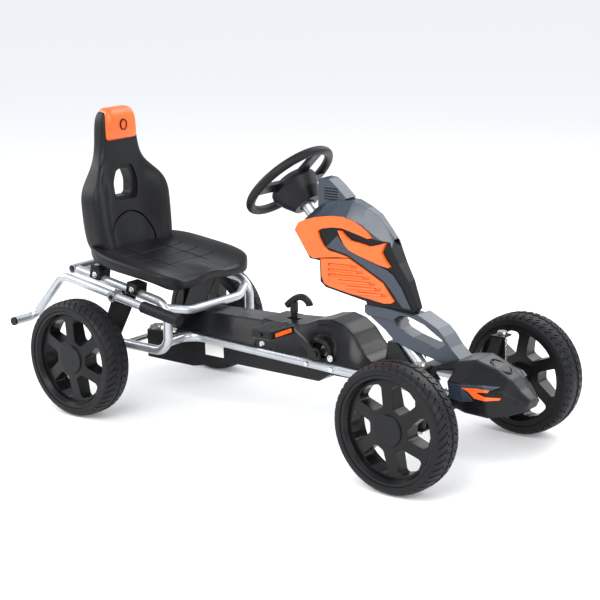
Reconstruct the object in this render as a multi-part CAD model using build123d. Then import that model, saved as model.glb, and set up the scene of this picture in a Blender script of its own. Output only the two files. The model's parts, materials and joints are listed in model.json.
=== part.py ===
from build123d import *
import math
import os

# ---------------------------------------------------------------------------
# Pedal go kart. Millimetres, +X forward, +Y to the driver's left, +Z up.
# Origin: on the floor, below the middle of the overall length and width.
# ---------------------------------------------------------------------------

# Driving dimensions
wheelbase = 1000.0
track = 530.0
front_overhang = 190.0
rear_overhang = 235.0
wheel_diameter = 300.0
tyre_width = 76.0

# Wheels
rim_lip_radius = 126.5
bead_seat_radius = 121.0
barrel_inner_radius = 113.0
rim_half_width = 35.6
lip_thickness = 3.5
spoke_count = 6
hub_radius = 31.0
hub_cap_radius = 37.0
hub_cap_face = 32.5
web_back = -16.0
bush_wall = 4.0
bush_flange = 3.0

# Axles and fits
running_clearance = 0.06
rear_axle_radius = 8.0
stub_axle_radius = 6.0
nut_radius = 9.5

# Frame tubes
rail_radius = 12.5
rail_y = 72.0
rail_rear_z = 200.0
rail_wall = 2.0
loop_tube_radius = 12.0
loop_y = 157.0
loop_top_front_z = 297.0
loop_bottom_z = 172.0
loop_front_dx = 215.0
loop_rear_dx = -105.0
loop_slope_deg = 9.0
loop_bend_radius = 44.0
bow_end_z = 286.0
bow_middle_z = 272.0

# Front axle and sliding pillar suspension
beam_radius = 15.0
kingpin_y = 168.0
kingpin_radius = 7.0
pillar_low_z = 120.0
pillar_high_z = 264.0
pillar_plate = 4.0
sleeve_radius = 13.0
sleeve_top_z = 188.0
spring_coil_radius = 10.8
spring_wire_radius = 1.7
spring_turns = 7
steering_arm_length = 60.0
arm_thickness = 6.0
arm_gap = 2.0
tie_rod_radius = 5.0
tie_pin_radius = 4.0
open_eye_radius = 9.5
open_eye_outer = 13.0
eye_thickness = 6.0
eye_gap = 0.4

# Steering column
column_angle = 45.7
column_foot_dx = -52.0
column_foot_z = 150.0
column_length = 650.0
column_tube_radius = 16.0
column_tube_wall = 3.0
column_shaft_radius = 8.0
drop_radius = 39.6
drop_pin_radius = 4.0
steering_wheel_diameter = 250.0
grip_radius = 11.0
hub_depth = 84.0
hub_recess = 18.0

# Chain drive
chain_pitch = 12.7
front_teeth = 24
rear_teeth = 12
roller_radius = 3.9
sprocket_thickness = 4.0
chain_y = 22.0
crank_height = 223.0
crank_nominal_dx = 643.0
crank_axle_radius = 8.0
crank_arm_length = 104.0
crank_arm_y = 92.0
crank_arm_thickness = 9.0
crank_rest_deg = 148.0
pedal_length = 92.0
pedal_depth = 66.0
pedal_thickness = 22.0
pedal_pin_radius = 5.0
pedal_gap = 3.0

# Chain covers and tray
cover_wall = 3.0
cover_half_width = 88.0
cover_crown_half_width = 40.0
tray_half_width = 58.0
tray_wall = 3.0

# Brake lever
brake_tube_radius = 11.0
brake_y = 205.0
brake_pivot_dx = 80.0
brake_pivot_z = 310.0
brake_end_z = 215.0
brake_pin_radius = 5.0
grip_sleeve_radius = 15.0

# Seat
seat_half_width = 184.0
seat_slope_deg = loop_slope_deg
seat_wall = 5.0
seat_top_z = 752.0
seat_travel_clearance = 0.3

# Shift lever
shift_dx = -144.0
shift_pivot_z = 240.0
shift_pin_radius = 4.0

# Derived places
overall_length = rear_overhang + wheelbase + front_overhang
rear_axle_x = -overall_length / 2 + rear_overhang
front_axle_x = rear_axle_x + wheelbase
nose_x = overall_length / 2
wheel_radius = wheel_diameter / 2
wheel_y = track / 2
axle_z = wheel_radius


def cylinder(start, end, radius):
    """Round bar between two points."""
    line = Vector(*end) - Vector(*start)
    return Solid.make_cylinder(radius, line.length, Plane(origin=start, z_dir=line))


def pipe(start, end, radius, bore):
    """Round tube between two points."""
    return cylinder(start, end, radius) - cylinder(start, end, bore)


def block(low, high):
    """Box between two opposite corners."""
    size = [b - a for a, b in zip(low, high)]
    centre = [(a + b) / 2 for a, b in zip(low, high)]
    return Pos(*centre) * Box(*size)


def bent_tube(points, bend, radius, wall=0.0):
    """Round tube along straight runs joined by arcs."""
    path = FilletPolyline(*points, radius=bend)
    section = Circle(radius)
    if wall:
        section -= Circle(radius - wall)
    return sweep(Plane(origin=path @ 0, z_dir=path % 0) * section, path=path)


def side_plate(outline, y_low, y_high, rounding=0.0):
    """Plate whose outline is given as (x, z) pairs, between two Y values."""
    plane = Plane.XZ.offset(-y_high)
    face = make_face(Polyline(*outline, close=True))
    if rounding:
        face = fillet(face.vertices(), rounding)
    return extrude(plane * face, y_high - y_low)


def mirrored(shape):
    """The same shape on the other side of the middle plane."""
    return mirror(shape, about=Plane.XZ)


def ruled_loft(sections):
    """Solid through polygon sections, each a list of (x, y, z) corners."""
    wires = [Wire.make_polygon([Vector(*p) for p in section], close=True) for section in sections]
    return Solid.make_loft(wires, ruled=True)


def biggest(shape):
    """The largest solid of a shape."""
    return shape.solids().sort_by(SortBy.VOLUME)[-1]


def save(name, *shapes):
    """Write one node, keeping its pieces as separate solids."""
    solids = []
    for shape in shapes:
        solids.extend(shape.solids())
    node = solids[0] if len(solids) == 1 else Compound(children=solids)
    export_step(node, os.path.join("parts", name + ".step"))


# ---------------------------------------------------------------------------
# Wheels
# ---------------------------------------------------------------------------

def tyre():
    """Solid tyre about the local Z axis, with two tread grooves."""
    shoulder = wheel_radius - 8
    half = tyre_width / 2
    bead = rim_lip_radius + 1
    profile = make_face(
        Polyline(
            (bead_seat_radius, -rim_half_width + lip_thickness),
            (bead_seat_radius, rim_half_width - lip_thickness),
            (bead, rim_half_width - lip_thickness),
            (bead, rim_half_width),
            (bead + 4, half),
            (shoulder - 4, half),
            (shoulder + 3, half - 5),
            (wheel_radius - 1.5, half - 14),
            (wheel_radius, half - 24),
            (wheel_radius, -half + 24),
            (wheel_radius - 1.5, -half + 14),
            (shoulder + 3, -half + 5),
            (shoulder - 4, -half),
            (bead + 4, -half),
            (bead, -rim_half_width),
            (bead, -rim_half_width + lip_thickness),
            close=True,
        )
    )
    body = revolve(Plane.XZ * profile, Axis.Z)
    for offset in (-9, 9):
        body -= Pos(0, 0, offset) * (
            Cylinder(wheel_radius + 2, 3) - Cylinder(wheel_radius - 2.5, 3)
        )
    return body


def rim(axle_radius):
    """Six-spoke rim about local Z, +Z outward, with bushes, cap and their bore."""
    bush_outer = axle_radius + bush_wall
    lip_back = rim_half_width - lip_thickness
    barrel = make_face(
        Polyline(
            (barrel_inner_radius, -rim_half_width),
            (rim_lip_radius, -rim_half_width),
            (rim_lip_radius, -lip_back),
            (bead_seat_radius, -lip_back),
            (bead_seat_radius, lip_back),
            (rim_lip_radius, lip_back),
            (rim_lip_radius, rim_half_width),
            (rim_lip_radius - 7, rim_half_width),
            (barrel_inner_radius, rim_half_width - 10),
            close=True,
        )
    )
    web = make_face(
        Polyline(
            (bush_outer, web_back),
            (barrel_inner_radius + 1, web_back + 4),
            (barrel_inner_radius + 1, 20),
            (80, 23),
            (hub_cap_radius, 28),
            (hub_cap_radius, 22),
            (bush_outer, 22),
            close=True,
        )
    )
    hub = make_face(
        Polyline(
            (bush_outer, -rim_half_width),
            (hub_radius - 6, -rim_half_width),
            (hub_radius, web_back),
            (bush_outer, web_back),
            close=True,
        )
    )
    solid = revolve(Plane.XZ * barrel, Axis.Z)
    solid += revolve(Plane.XZ * web, Axis.Z)
    solid += revolve(Plane.XZ * hub, Axis.Z)
    pocket_outline = [(51, -14), (104, -23), (108, -6), (108, 8), (103, 21), (51, 14)]
    swirl = 7
    corners = []
    for radius, angle in pocket_outline:
        turn = math.radians(angle + swirl * (radius - 51) / 57)
        corners.append((radius * math.cos(turn), radius * math.sin(turn)))
    pocket_face = fillet(make_face(Polyline(*corners, close=True)).vertices(), 10)
    pocket = Pos(0, 0, web_back - 5) * extrude(pocket_face, 60)
    for index in range(spoke_count):
        solid -= Rot(0, 0, index * 360 / spoke_count) * pocket
    bore = axle_radius + running_clearance
    inner_bush = pipe((0, 0, -rim_half_width), (0, 0, -6), bush_outer, bore)
    outer_bush = pipe((0, 0, -6), (0, 0, 22), bush_outer, bore)
    cap = Pos(0, 0, (22 + hub_cap_face) / 2) * Cylinder(hub_cap_radius, hub_cap_face - 22)
    cap = fillet(cap.edges().sort_by(Axis.Z)[-1], 2.5)
    cap -= Pos(0, 0, 22 + 4) * Cylinder(hub_cap_radius - 5, 8)
    return [solid, inner_bush, outer_bush, cap]


def place_wheel(shape, x, side):
    """Set a wheel piece, made about local Z, at its axle. side is +1 left, -1 right."""
    return Pos(x, side * wheel_y, axle_z) * Rot(-90 * side, 0, 0) * shape


def wheels():
    tyre_shape = tyre()
    for end, x, radius in (
        ("front", front_axle_x, stub_axle_radius),
        ("rear", rear_axle_x, rear_axle_radius),
    ):
        pieces = rim(radius)
        for side, word in ((1, "left"), (-1, "right")):
            save(f"tyre_{end}_{word}", place_wheel(tyre_shape, x, side))
            save(f"rim_{end}_{word}", *[place_wheel(p, x, side) for p in pieces])


# ---------------------------------------------------------------------------
# Frame
# ---------------------------------------------------------------------------

loop_front_x = rear_axle_x + loop_front_dx
loop_rear_x = rear_axle_x + loop_rear_dx
rail_front_z = axle_z + beam_radius + rail_radius
slope = math.tan(math.radians(loop_slope_deg))


def loop_top_z(x):
    """Centre height of the seat tubes at a station."""
    return loop_top_front_z + (loop_front_x - x) * slope


def rail_z(x):
    """Centre height of the main rails at a station."""
    run = front_axle_x - loop_front_x
    return rail_rear_z + (rail_front_z - rail_rear_z) * (x - loop_front_x) / run


def seat_loop(side):
    """Bent tube that carries the seat on one side, open to the rear."""
    y = side * loop_y
    return bent_tube(
        [
            (loop_rear_x + 5, y, loop_top_z(loop_rear_x + 5)),
            (loop_front_x, y, loop_top_front_z),
            (loop_front_x, y, loop_bottom_z),
            (rear_axle_x + 45, y, loop_bottom_z),
        ],
        loop_bend_radius,
        loop_tube_radius,
        2.0,
    )


def seat_frame():
    loops = [seat_loop(1), seat_loop(-1)]
    bar_x = loop_rear_x + 5 - loop_tube_radius
    bar_z = loop_top_z(bar_x)
    rear_bar = pipe(
        (bar_x, -loop_y - loop_tube_radius, bar_z),
        (bar_x, loop_y + loop_tube_radius, bar_z),
        loop_tube_radius,
        loop_tube_radius - 2,
    )
    outer_loops = [
        bent_tube(
            [
                (loop_rear_x + 5, s * loop_y, loop_top_z(loop_rear_x + 5)),
                (loop_front_x, s * loop_y, loop_top_front_z),
                (loop_front_x, s * loop_y, loop_bottom_z),
                (rear_axle_x + 45, s * loop_y, loop_bottom_z),
            ],
            loop_bend_radius,
            loop_tube_radius,
        )
        for s in (1, -1)
    ]
    bow_x = loop_front_x - 12.5
    bow = bent_tube(
        [
            (bow_x, -loop_y, bow_end_z),
            (bow_x + 32, -loop_y + 62, bow_middle_z),
            (bow_x + 32, loop_y - 62, bow_middle_z),
            (bow_x, loop_y, bow_end_z),
        ],
        60,
        loop_tube_radius - 1,
    )
    for solid in outer_loops:
        rear_bar -= solid
        bow -= solid
    bow = biggest(bow)
    rear_bar = biggest(rear_bar)
    save("seat_frame", *loops, rear_bar, bow)
    return outer_loops


def main_frame(outer_loops):
    """Two long rails, each bent outward at the rear to meet a seat loop."""
    rails = []
    bores = []
    for side in (1, -1):
        line = [
            (loop_front_x, side * loop_y, rail_rear_z),
            (loop_front_x, side * rail_y, rail_rear_z),
            (front_axle_x + beam_radius, side * rail_y, rail_z(front_axle_x + beam_radius)),
        ]
        rail = bent_tube(line, 48, rail_radius)
        for solid in outer_loops:
            rail -= solid
        rails.append(biggest(rail))
        bores.append(bent_tube(line, 48, rail_radius - rail_wall))
    cross = []
    for x in (crank_x + 190, crank_x - 250):
        cross_z = rail_z(x)
        tube = cylinder((x, -rail_y, cross_z), (x, rail_y, cross_z), 9)
        for rail in rails:
            tube -= rail
        cross.append(biggest(tube))
    tubes = [biggest(rail - bore) for rail, bore in zip(rails, bores)]
    save("main_frame", *tubes, *cross)
    return rails, cross


def rear_axle_brackets(outer_loops):
    plates = []
    bearings = []
    for side in (1, -1):
        outline = [
            (rear_axle_x - 26, axle_z - 24),
            (rear_axle_x + 30, axle_z - 24),
            (rear_axle_x + 45, loop_bottom_z - loop_tube_radius),
            (rear_axle_x + 45, loop_bottom_z + 22),
            (rear_axle_x + 112, loop_top_z(rear_axle_x + 112)),
            (rear_axle_x + 40, loop_top_z(rear_axle_x + 40)),
            (rear_axle_x - 26, axle_z + 30),
        ]
        plate = side_plate(outline, side * loop_y - 3, side * loop_y + 3)
        plate -= cylinder(
            (rear_axle_x, side * loop_y - 10, axle_z), (rear_axle_x, side * loop_y + 10, axle_z), 17
        )
        for solid in outer_loops:
            plate -= solid
        plates.append(biggest(plate))
        ring = pipe(
            (rear_axle_x, side * loop_y - 9, axle_z),
            (rear_axle_x, side * loop_y + 9, axle_z),
            17,
            rear_axle_radius + running_clearance,
        )
        bearings.append(ring)
    save("rear_axle_brackets", *plates)
    return bearings


# ---------------------------------------------------------------------------
# Chain drive
# ---------------------------------------------------------------------------

front_pitch_radius = chain_pitch / (2 * math.sin(math.pi / front_teeth))
rear_pitch_radius = chain_pitch / (2 * math.sin(math.pi / rear_teeth))
front_tooth_angle = 2 * math.pi / front_teeth
rear_tooth_angle = 2 * math.pi / rear_teeth


def chain_stretches(centres):
    """Lengths, in pitches, of a straight run and of the wraps round front and rear."""
    spread = math.asin((front_pitch_radius - rear_pitch_radius) / centres)
    straight = centres * math.cos(spread) / chain_pitch
    front_wrap = (math.pi + 2 * spread) / front_tooth_angle
    rear_wrap = (math.pi - 2 * spread) / rear_tooth_angle
    return straight, front_wrap, rear_wrap


def chain_count(centres):
    straight, front_wrap, rear_wrap = chain_stretches(centres)
    return 2 * straight + front_wrap + rear_wrap


def fitted_centres(nominal):
    """Axle distance near the nominal one at which an even link count closes."""
    links = 2 * round(chain_count(nominal) / 2)
    low, high = nominal - 2 * chain_pitch, nominal + 2 * chain_pitch
    for _ in range(60):
        middle = (low + high) / 2
        if chain_count(middle) < links:
            low = middle
        else:
            high = middle
    return low, links


crank_rise = crank_height - axle_z
chain_centres, link_count = fitted_centres(math.hypot(crank_nominal_dx, crank_rise))
crank_x = rear_axle_x + math.sqrt(chain_centres ** 2 - crank_rise ** 2)
chain_spread = math.asin((front_pitch_radius - rear_pitch_radius) / chain_centres)
chain_tilt = math.atan2(crank_rise, crank_x - rear_axle_x)
chain_upper = chain_tilt + math.pi / 2 + chain_spread
chain_lower = chain_tilt - math.pi / 2 - chain_spread


def polar(centre, radius, angle):
    return centre[0] + radius * math.cos(angle), centre[1] + radius * math.sin(angle)


def chain_pin(index):
    """Place (x, z) of one chain pin, counted from the start of the upper run."""
    straight, front_wrap, _ = chain_stretches(chain_centres)
    crank_centre = (crank_x, crank_height)
    axle_centre = (rear_axle_x, axle_z)
    if index < straight:
        start = polar(axle_centre, rear_pitch_radius, chain_upper)
        return polar(start, index * chain_pitch, chain_upper - math.pi / 2)
    index -= straight
    if index < front_wrap:
        return polar(crank_centre, front_pitch_radius, chain_upper - index * front_tooth_angle)
    index -= front_wrap
    if index < straight:
        start = polar(crank_centre, front_pitch_radius, chain_lower)
        return polar(start, index * chain_pitch, chain_lower - math.pi / 2)
    index -= straight
    return polar(axle_centre, rear_pitch_radius, chain_lower - index * rear_tooth_angle)


def seated_pin_angle(centre, radius):
    """Angle about a sprocket of a pin that lies on its pitch circle."""
    for index in range(link_count):
        x, z = chain_pin(index)
        if abs(math.hypot(x - centre[0], z - centre[1]) - radius) < 0.001:
            return math.atan2(z - centre[1], x - centre[0])
    return 0.0


def sprocket(centre, teeth, pitch_radius, bore, lightening):
    """Toothed disc in the XZ plane, with its gaps under the chain's pins."""
    x, z = centre
    low, high = chain_y - sprocket_thickness / 2, chain_y + sprocket_thickness / 2
    disc = cylinder((x, low, z), (x, high, z), pitch_radius + 1.6)
    gap = roller_radius + 0.7
    first = math.degrees(seated_pin_angle(centre, pitch_radius))
    notch = Pos(pitch_radius, 0, 0) * Rot(90, 0, 0) * Cylinder(gap, 8)
    notch += Pos(pitch_radius + 5, 0, 0) * Box(10, 8, 2 * gap + 0.8)
    for index in range(teeth):
        turn = Rot(0, -first - index * 360 / teeth, 0)
        disc -= Pos(x, chain_y, z) * turn * notch
    if lightening:
        for index in range(5):
            px, pz = polar(centre, 0.6 * pitch_radius, index * 2 * math.pi / 5)
            disc -= cylinder((px, low - 1, pz), (px, high + 1, pz), 7.5)
    boss = cylinder((x, chain_y - 11, z), (x, chain_y + 11, z), bore + 5)
    return disc + boss - cylinder((x, chain_y - 20, z), (x, chain_y + 20, z), bore)


def link_plate(y_low, y_high):
    """Dog-bone side plate of one link, centred, along local X."""
    half = chain_pitch / 2
    plate = block((-half, y_low, -3.0), (half, y_high, 3.0))
    for end in (-half, half):
        plate += cylinder((end, y_low, 0), (end, y_high, 0), 4.2)
    return plate


def inner_link():
    half = chain_pitch / 2
    link = link_plate(2.6, 3.6) + link_plate(-3.6, -2.6)
    for end in (-half, half):
        link += cylinder((end, -2.6, 0), (end, 2.6, 0), roller_radius)
        link -= cylinder((end, -4, 0), (end, 4, 0), 2.0)
    return link


def outer_link():
    half = chain_pitch / 2
    link = link_plate(3.8, 4.8) + link_plate(-4.8, -3.8)
    for end in (-half, half):
        link += cylinder((end, -5.4, 0), (end, 5.4, 0), 1.7)
    return link


def drive_chain():
    shapes = (inner_link(), outer_link())
    links = []
    for index in range(link_count):
        x, z = chain_pin(index)
        next_x, next_z = chain_pin((index + 1) % link_count)
        heading = math.degrees(math.atan2(next_z - z, next_x - x))
        middle = Pos((x + next_x) / 2, chain_y, (z + next_z) / 2)
        links.append(middle * Rot(0, -heading, 0) * shapes[index % 2])
    save("drive_chain", *links)


def rear_axle():
    reach = wheel_y + 22
    shaft = cylinder((rear_axle_x, -reach, axle_z), (rear_axle_x, reach, axle_z), rear_axle_radius)
    nuts = []
    for side in (1, -1):
        y = sorted((side * (wheel_y + 22.4), side * (wheel_y + 29)))
        stub = cylinder((rear_axle_x, y[0], axle_z), (rear_axle_x, y[1], axle_z), nut_radius)
        nuts.append(stub)
        shaft += cylinder(
            (rear_axle_x, side * (wheel_y - rim_half_width - 3), axle_z),
            (rear_axle_x, side * (wheel_y - rim_half_width - 0.3), axle_z),
            rear_axle_radius + 4,
        )
    save("rear_axle_shaft", shaft, *nuts)
    centre = (rear_axle_x, axle_z)
    save(
        "rear_sprocket",
        sprocket(centre, rear_teeth, rear_pitch_radius, rear_axle_radius, False),
    )


def crank():
    arm_outer = crank_arm_y + crank_arm_thickness
    axle = cylinder(
        (crank_x, -crank_arm_y, crank_height), (crank_x, crank_arm_y, crank_height), crank_axle_radius
    )
    save("crank_axle", axle)
    centre = (crank_x, crank_height)
    save(
        "front_sprocket",
        sprocket(centre, front_teeth, front_pitch_radius, crank_axle_radius, True),
    )
    arms = []
    for side in (1, -1):
        angle = math.radians(crank_rest_deg) + (math.pi if side > 0 else 0)
        end_x = crank_x + crank_arm_length * math.cos(angle)
        end_z = crank_height + crank_arm_length * math.sin(angle)
        y = sorted((side * crank_arm_y, side * arm_outer))
        arm = cylinder((crank_x, y[0], crank_height), (crank_x, y[1], crank_height), 15)
        arm += cylinder((end_x, y[0], end_z), (end_x, y[1], end_z), 11)
        bar = Pos(0, 0, 0) * Box(crank_arm_length, crank_arm_thickness, 17)
        turn = Rot(0, -math.degrees(angle), 0)
        middle = Pos((crank_x + end_x) / 2, (y[0] + y[1]) / 2, (crank_height + end_z) / 2)
        arm += middle * turn * bar
        tip = sorted((side * arm_outer, side * (arm_outer + pedal_gap + pedal_length + 4)))
        pin = cylinder((end_x, tip[0], end_z), (end_x, tip[1], end_z), pedal_pin_radius)
        nut_y = sorted((side * arm_outer, side * (arm_outer + 5)))
        cap = cylinder((crank_x, nut_y[0], crank_height), (crank_x, nut_y[1], crank_height), 8)
        arms.append(arm + pin + cap)
        pedal((end_x, end_z), side, arm_outer + pedal_gap)
    save("crank_arms", *arms)


def pedal(centre, side, start):
    """Platform pedal round its pin, with a ribbed tread and open ends."""
    x, z = centre
    y = sorted((side * start, side * (start + pedal_length)))
    body = block(
        (x - pedal_depth / 2, y[0], z - pedal_thickness / 2),
        (x + pedal_depth / 2, y[1], z + pedal_thickness / 2),
    )
    body = fillet(body.edges().filter_by(Axis.Z), 9)
    body = chamfer(body.edges().filter_by(Axis.Y).group_by(Axis.X)[0], 3)
    for index in range(-4, 5):
        mid = (y[0] + y[1]) / 2 + index * 9.5
        for face in (-1, 1):
            body -= block(
                (x - 26, mid - 2.2, z + face * (pedal_thickness / 2) - 2.0),
                (x + 26, mid + 2.2, z + face * (pedal_thickness / 2) + 2.0),
            )
    body -= cylinder(
        (x, y[0] - 5, z), (x, y[1] + 5, z), pedal_pin_radius + running_clearance
    )
    word = "left" if side > 0 else "right"
    save(f"pedal_{word}", body)


def crank_hangers(rails):
    """Plates bolted between the rails that carry the crank bearings."""
    plates = []
    bearings = []
    bolts = []
    for side in (1, -1):
        y = side * 50
        outline = [
            (crank_x - 46, rail_z(crank_x) - 14),
            (crank_x + 46, rail_z(crank_x) - 14),
            (crank_x + 30, crank_height + 10),
            (crank_x + 16, crank_height + 26),
            (crank_x - 16, crank_height + 26),
            (crank_x - 30, crank_height + 10),
        ]
        plate = side_plate(outline, y - 2.5, y + 2.5)
        tab_y = sorted((side * 52.5, side * rail_y))
        for dx in (-38, 38):
            tab = block(
                (crank_x + dx - 8, tab_y[0], rail_z(crank_x) - 6),
                (crank_x + dx + 8, tab_y[1], rail_z(crank_x) + 6),
            )
            plate += tab
        for rail in rails:
            plate -= rail
        plate -= cylinder(
            (crank_x, y - 10, crank_height), (crank_x, y + 10, crank_height), 16
        )
        plates.append(biggest(plate))
        bearings.append(
            pipe(
                (crank_x, y - 7, crank_height),
                (crank_x, y + 7, crank_height),
                16,
                crank_axle_radius + running_clearance,
            )
        )
        for dx in (-38, 38):
            x = crank_x + dx - 1
            start = side * (rail_y + rail_radius)
            head = sorted((start - side * 1.0, start + side * 5))
            head_z = rail_z(x)
            head_solid = cylinder((x, head[0], head_z), (x, head[1], head_z), 6)
            for rail in rails:
                head_solid -= rail
            bolts.append(biggest(head_solid))
    save("crank_hangers", *plates)
    return plates, bearings, bolts


# ---------------------------------------------------------------------------
# Covers, tray and shift lever
# ---------------------------------------------------------------------------

def cover_section(x, crown, skirt, half, crown_half):
    """Four-cornered cross-section of a cover, open below."""
    return [(x, -half, skirt), (x, -crown_half, crown), (x, crown_half, crown), (x, half, skirt)]


def cover_shell(stations):
    """Thin shell through stations of (x, crown z, skirt z, half width, crown half width)."""
    outer = ruled_loft([cover_section(*s) for s in stations])
    inner_stations = []
    for index, (x, crown, skirt, half, crown_half) in enumerate(stations):
        last = len(stations) - 1
        shift = 0
        if index == 0:
            shift = cover_wall
        if index == last:
            shift = -cover_wall
        inner_stations.append(
            (x + shift, crown - cover_wall, skirt - 0.5, half - 1.4 * cover_wall,
             crown_half - 0.6 * cover_wall)
        )
    inner = ruled_loft([cover_section(*s) for s in inner_stations])
    return outer - inner


cover_joint_x = crank_x - 205


def rail_top(x):
    return rail_z(x) + rail_radius + 0.5


def chain_covers():
    rear_x = rear_axle_x + 130
    chain_gap = block((cover_joint_x - 8, -34, rail_top(cover_joint_x) - 20), (cover_joint_x + 8, 34, 254))
    rear = cover_shell(
        [
            (rear_x, 246, rail_top(rear_x), cover_half_width - 6, 34),
            (rear_x + 60, 256, rail_top(rear_x + 60), cover_half_width, cover_crown_half_width),
            (cover_joint_x - 0.3, 264, rail_top(cover_joint_x), cover_half_width,
             cover_crown_half_width),
        ]
    )
    rear -= block((rear_x - 5, -34, rail_top(rear_x) - 20), (rear_x + 8, 34, 236))
    rear -= chain_gap
    save("chain_cover_rear", rear)

    front_x = crank_x + 134
    front = cover_shell(
        [
            (cover_joint_x, 271, rail_top(cover_joint_x), 84, 46),
            (cover_joint_x + 55, 268, rail_top(cover_joint_x + 55), 82, 48),
            (crank_x - 86, 272, rail_top(crank_x - 86), 80, 50),
            (crank_x - 62, 279, rail_top(crank_x - 62), 80, 50),
            (crank_x - 30, 292, rail_top(crank_x - 30), 80, 48),
            (crank_x + 10, 299, rail_top(crank_x + 10), 80, 46),
            (crank_x + 45, 291, rail_top(crank_x + 45), 80, 46),
            (crank_x + 75, 272, rail_top(crank_x + 75), 80, 46),
            (crank_x + 96, 244, rail_top(crank_x + 96), 80, 48),
            (crank_x + 112, 226, rail_top(crank_x + 112), 79, 50),
            (front_x, 212, rail_top(front_x), 78, 52),
        ]
    )
    emboss = None
    for side in (1, -1):
        y = sorted((side * 62, side * 86))
        disc = cylinder((crank_x, y[0], crank_height), (crank_x, y[1], crank_height), 36)
        disc -= cylinder((crank_x, y[0] - 1, crank_height), (crank_x, y[1] + 1, crank_height), 26)
        disc -= block((crank_x - 60, -100, 100), (crank_x + 60, 100, rail_top(crank_x) + 1))
        emboss = disc if emboss is None else emboss + disc
    front += emboss
    front -= cylinder((crank_x, -120, crank_height), (crank_x, 120, crank_height), 16)
    slot_x = crank_x + shift_dx
    front -= block((slot_x - 20, -8, 250), (slot_x + 20, 8, 290))
    front -= chain_gap
    save("chain_cover_front", biggest(front))


def belly_tray(cross, hangers):
    """Open-topped tray below the rails that guards the lower chain run."""
    rear = rear_axle_x + 44
    front = crank_x + 90
    step_x, flat_x = rear_axle_x + 205, rear_axle_x + 345
    low_z, flat_z, toe_z = 112.0, 141.0, 164.0
    lip = 3.0
    outline = [
        (rear, low_z), (step_x, low_z), (flat_x, flat_z), (crank_x - 24, flat_z),
        (crank_x + 12, toe_z), (front, toe_z), (front, rail_z(front) - lip),
        (rear + 190, rail_z(rear + 190) - lip), (rear, 186),
    ]
    inner_outline = [
        (rear - 5, low_z + tray_wall), (step_x - 1, low_z + tray_wall),
        (flat_x - 1, flat_z + tray_wall), (crank_x - 25, flat_z + tray_wall),
        (crank_x + 11, toe_z + tray_wall), (front - tray_wall, toe_z + tray_wall),
        (front - tray_wall, 240), (rear - 5, 240),
    ]
    tray = side_plate(outline, -tray_half_width, tray_half_width)
    tray -= side_plate(inner_outline, -tray_half_width + tray_wall, tray_half_width - tray_wall)
    for solid in [*cross, *hangers]:
        tray -= solid
    save("belly_tray", biggest(tray))
    label_x = rear_axle_x + 250
    save(
        "blank_label",
        block((label_x, -tray_half_width - 0.8, 150), (label_x + 62, -tray_half_width, 188)),
    )


def shift_lever(rails):
    """T-handled lever on a pin between two ears that stand on the rails."""
    x = crank_x + shift_dx
    base = rail_z(x) + rail_radius - 0.5
    bracket = block((x - 16, -rail_y, base), (x + 16, rail_y, base + 3))
    for side in (1, -1):
        ear_y = sorted((side * 10.5, side * 13.5))
        bracket += block((x - 16, ear_y[0], base), (x + 16, ear_y[1], shift_pivot_z + 12))
    bracket += cylinder((x, -15, shift_pivot_z), (x, 15, shift_pivot_z), shift_pin_radius)
    for rail in rails:
        bracket -= rail
    save("shift_bracket", biggest(bracket))
    stem = block((x - 7, -4, shift_pivot_z - 8), (x + 7, 4, 298))
    stem += cylinder((x, -6, shift_pivot_z), (x, 6, shift_pivot_z), 9)
    stem -= cylinder(
        (x, -9, shift_pivot_z), (x, 9, shift_pivot_z), shift_pin_radius + running_clearance
    )
    handle_path = Spline(
        (x - 22, 0, 300), (x, 0, 318), (x + 24, 0, 327), (x + 44, 0, 319), (x + 50, 0, 308)
    )
    section = Plane(origin=handle_path @ 0, z_dir=handle_path % 0) * RectangleRounded(16, 15, 5)
    handle = sweep(section, path=handle_path)
    neck = block((x - 8, -6, 285), (x + 8, 6, 312))
    handle += neck
    handle -= block((x - 7, -4, 280), (x + 7, 4, 298))
    save("shift_lever", stem, handle)


# ---------------------------------------------------------------------------
# Brake lever
# ---------------------------------------------------------------------------

brake_pivot_x = rear_axle_x + brake_pivot_dx
brake_slope = math.tan(math.radians(8.7))


def brake_z(x):
    """Centre height of the lever's straight run."""
    return brake_pivot_z - (x - brake_pivot_x) * brake_slope


def brake_lever():
    rear_x = -overall_length / 2 + brake_tube_radius
    knee_x = rear_axle_x - 108
    front_x = rear_axle_x + 296
    lever = bent_tube(
        [
            (front_x, -brake_y, brake_z(front_x)),
            (knee_x, -brake_y, brake_z(knee_x)),
            (rear_x, -brake_y, brake_end_z),
            (rear_x, -brake_y - 72, brake_end_z),
        ],
        [40, 28],
        brake_tube_radius,
    )
    lever += cylinder(
        (brake_pivot_x, -brake_y - 14, brake_pivot_z), (brake_pivot_x, -brake_y + 14, brake_pivot_z), 14
    )
    lever -= cylinder(
        (brake_pivot_x, -brake_y - 30, brake_pivot_z),
        (brake_pivot_x, -brake_y + 30, brake_pivot_z),
        brake_pin_radius + running_clearance,
    )
    sleeve_x = front_x - 118
    core = cylinder(
        (sleeve_x, -brake_y, brake_z(sleeve_x)), (front_x, -brake_y, brake_z(front_x)),
        brake_tube_radius,
    )
    sleeve = cylinder(
        (sleeve_x, -brake_y, brake_z(sleeve_x)),
        (front_x + 5, -brake_y, brake_z(front_x + 5)),
        grip_sleeve_radius,
    )
    sleeve -= core
    end_cap = cylinder(
        (rear_x, -brake_y - 72, brake_end_z), (rear_x, -brake_y - 78, brake_end_z),
        brake_tube_radius,
    )
    save("brake_lever", lever)
    save("brake_grip", sleeve, end_cap)


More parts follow.
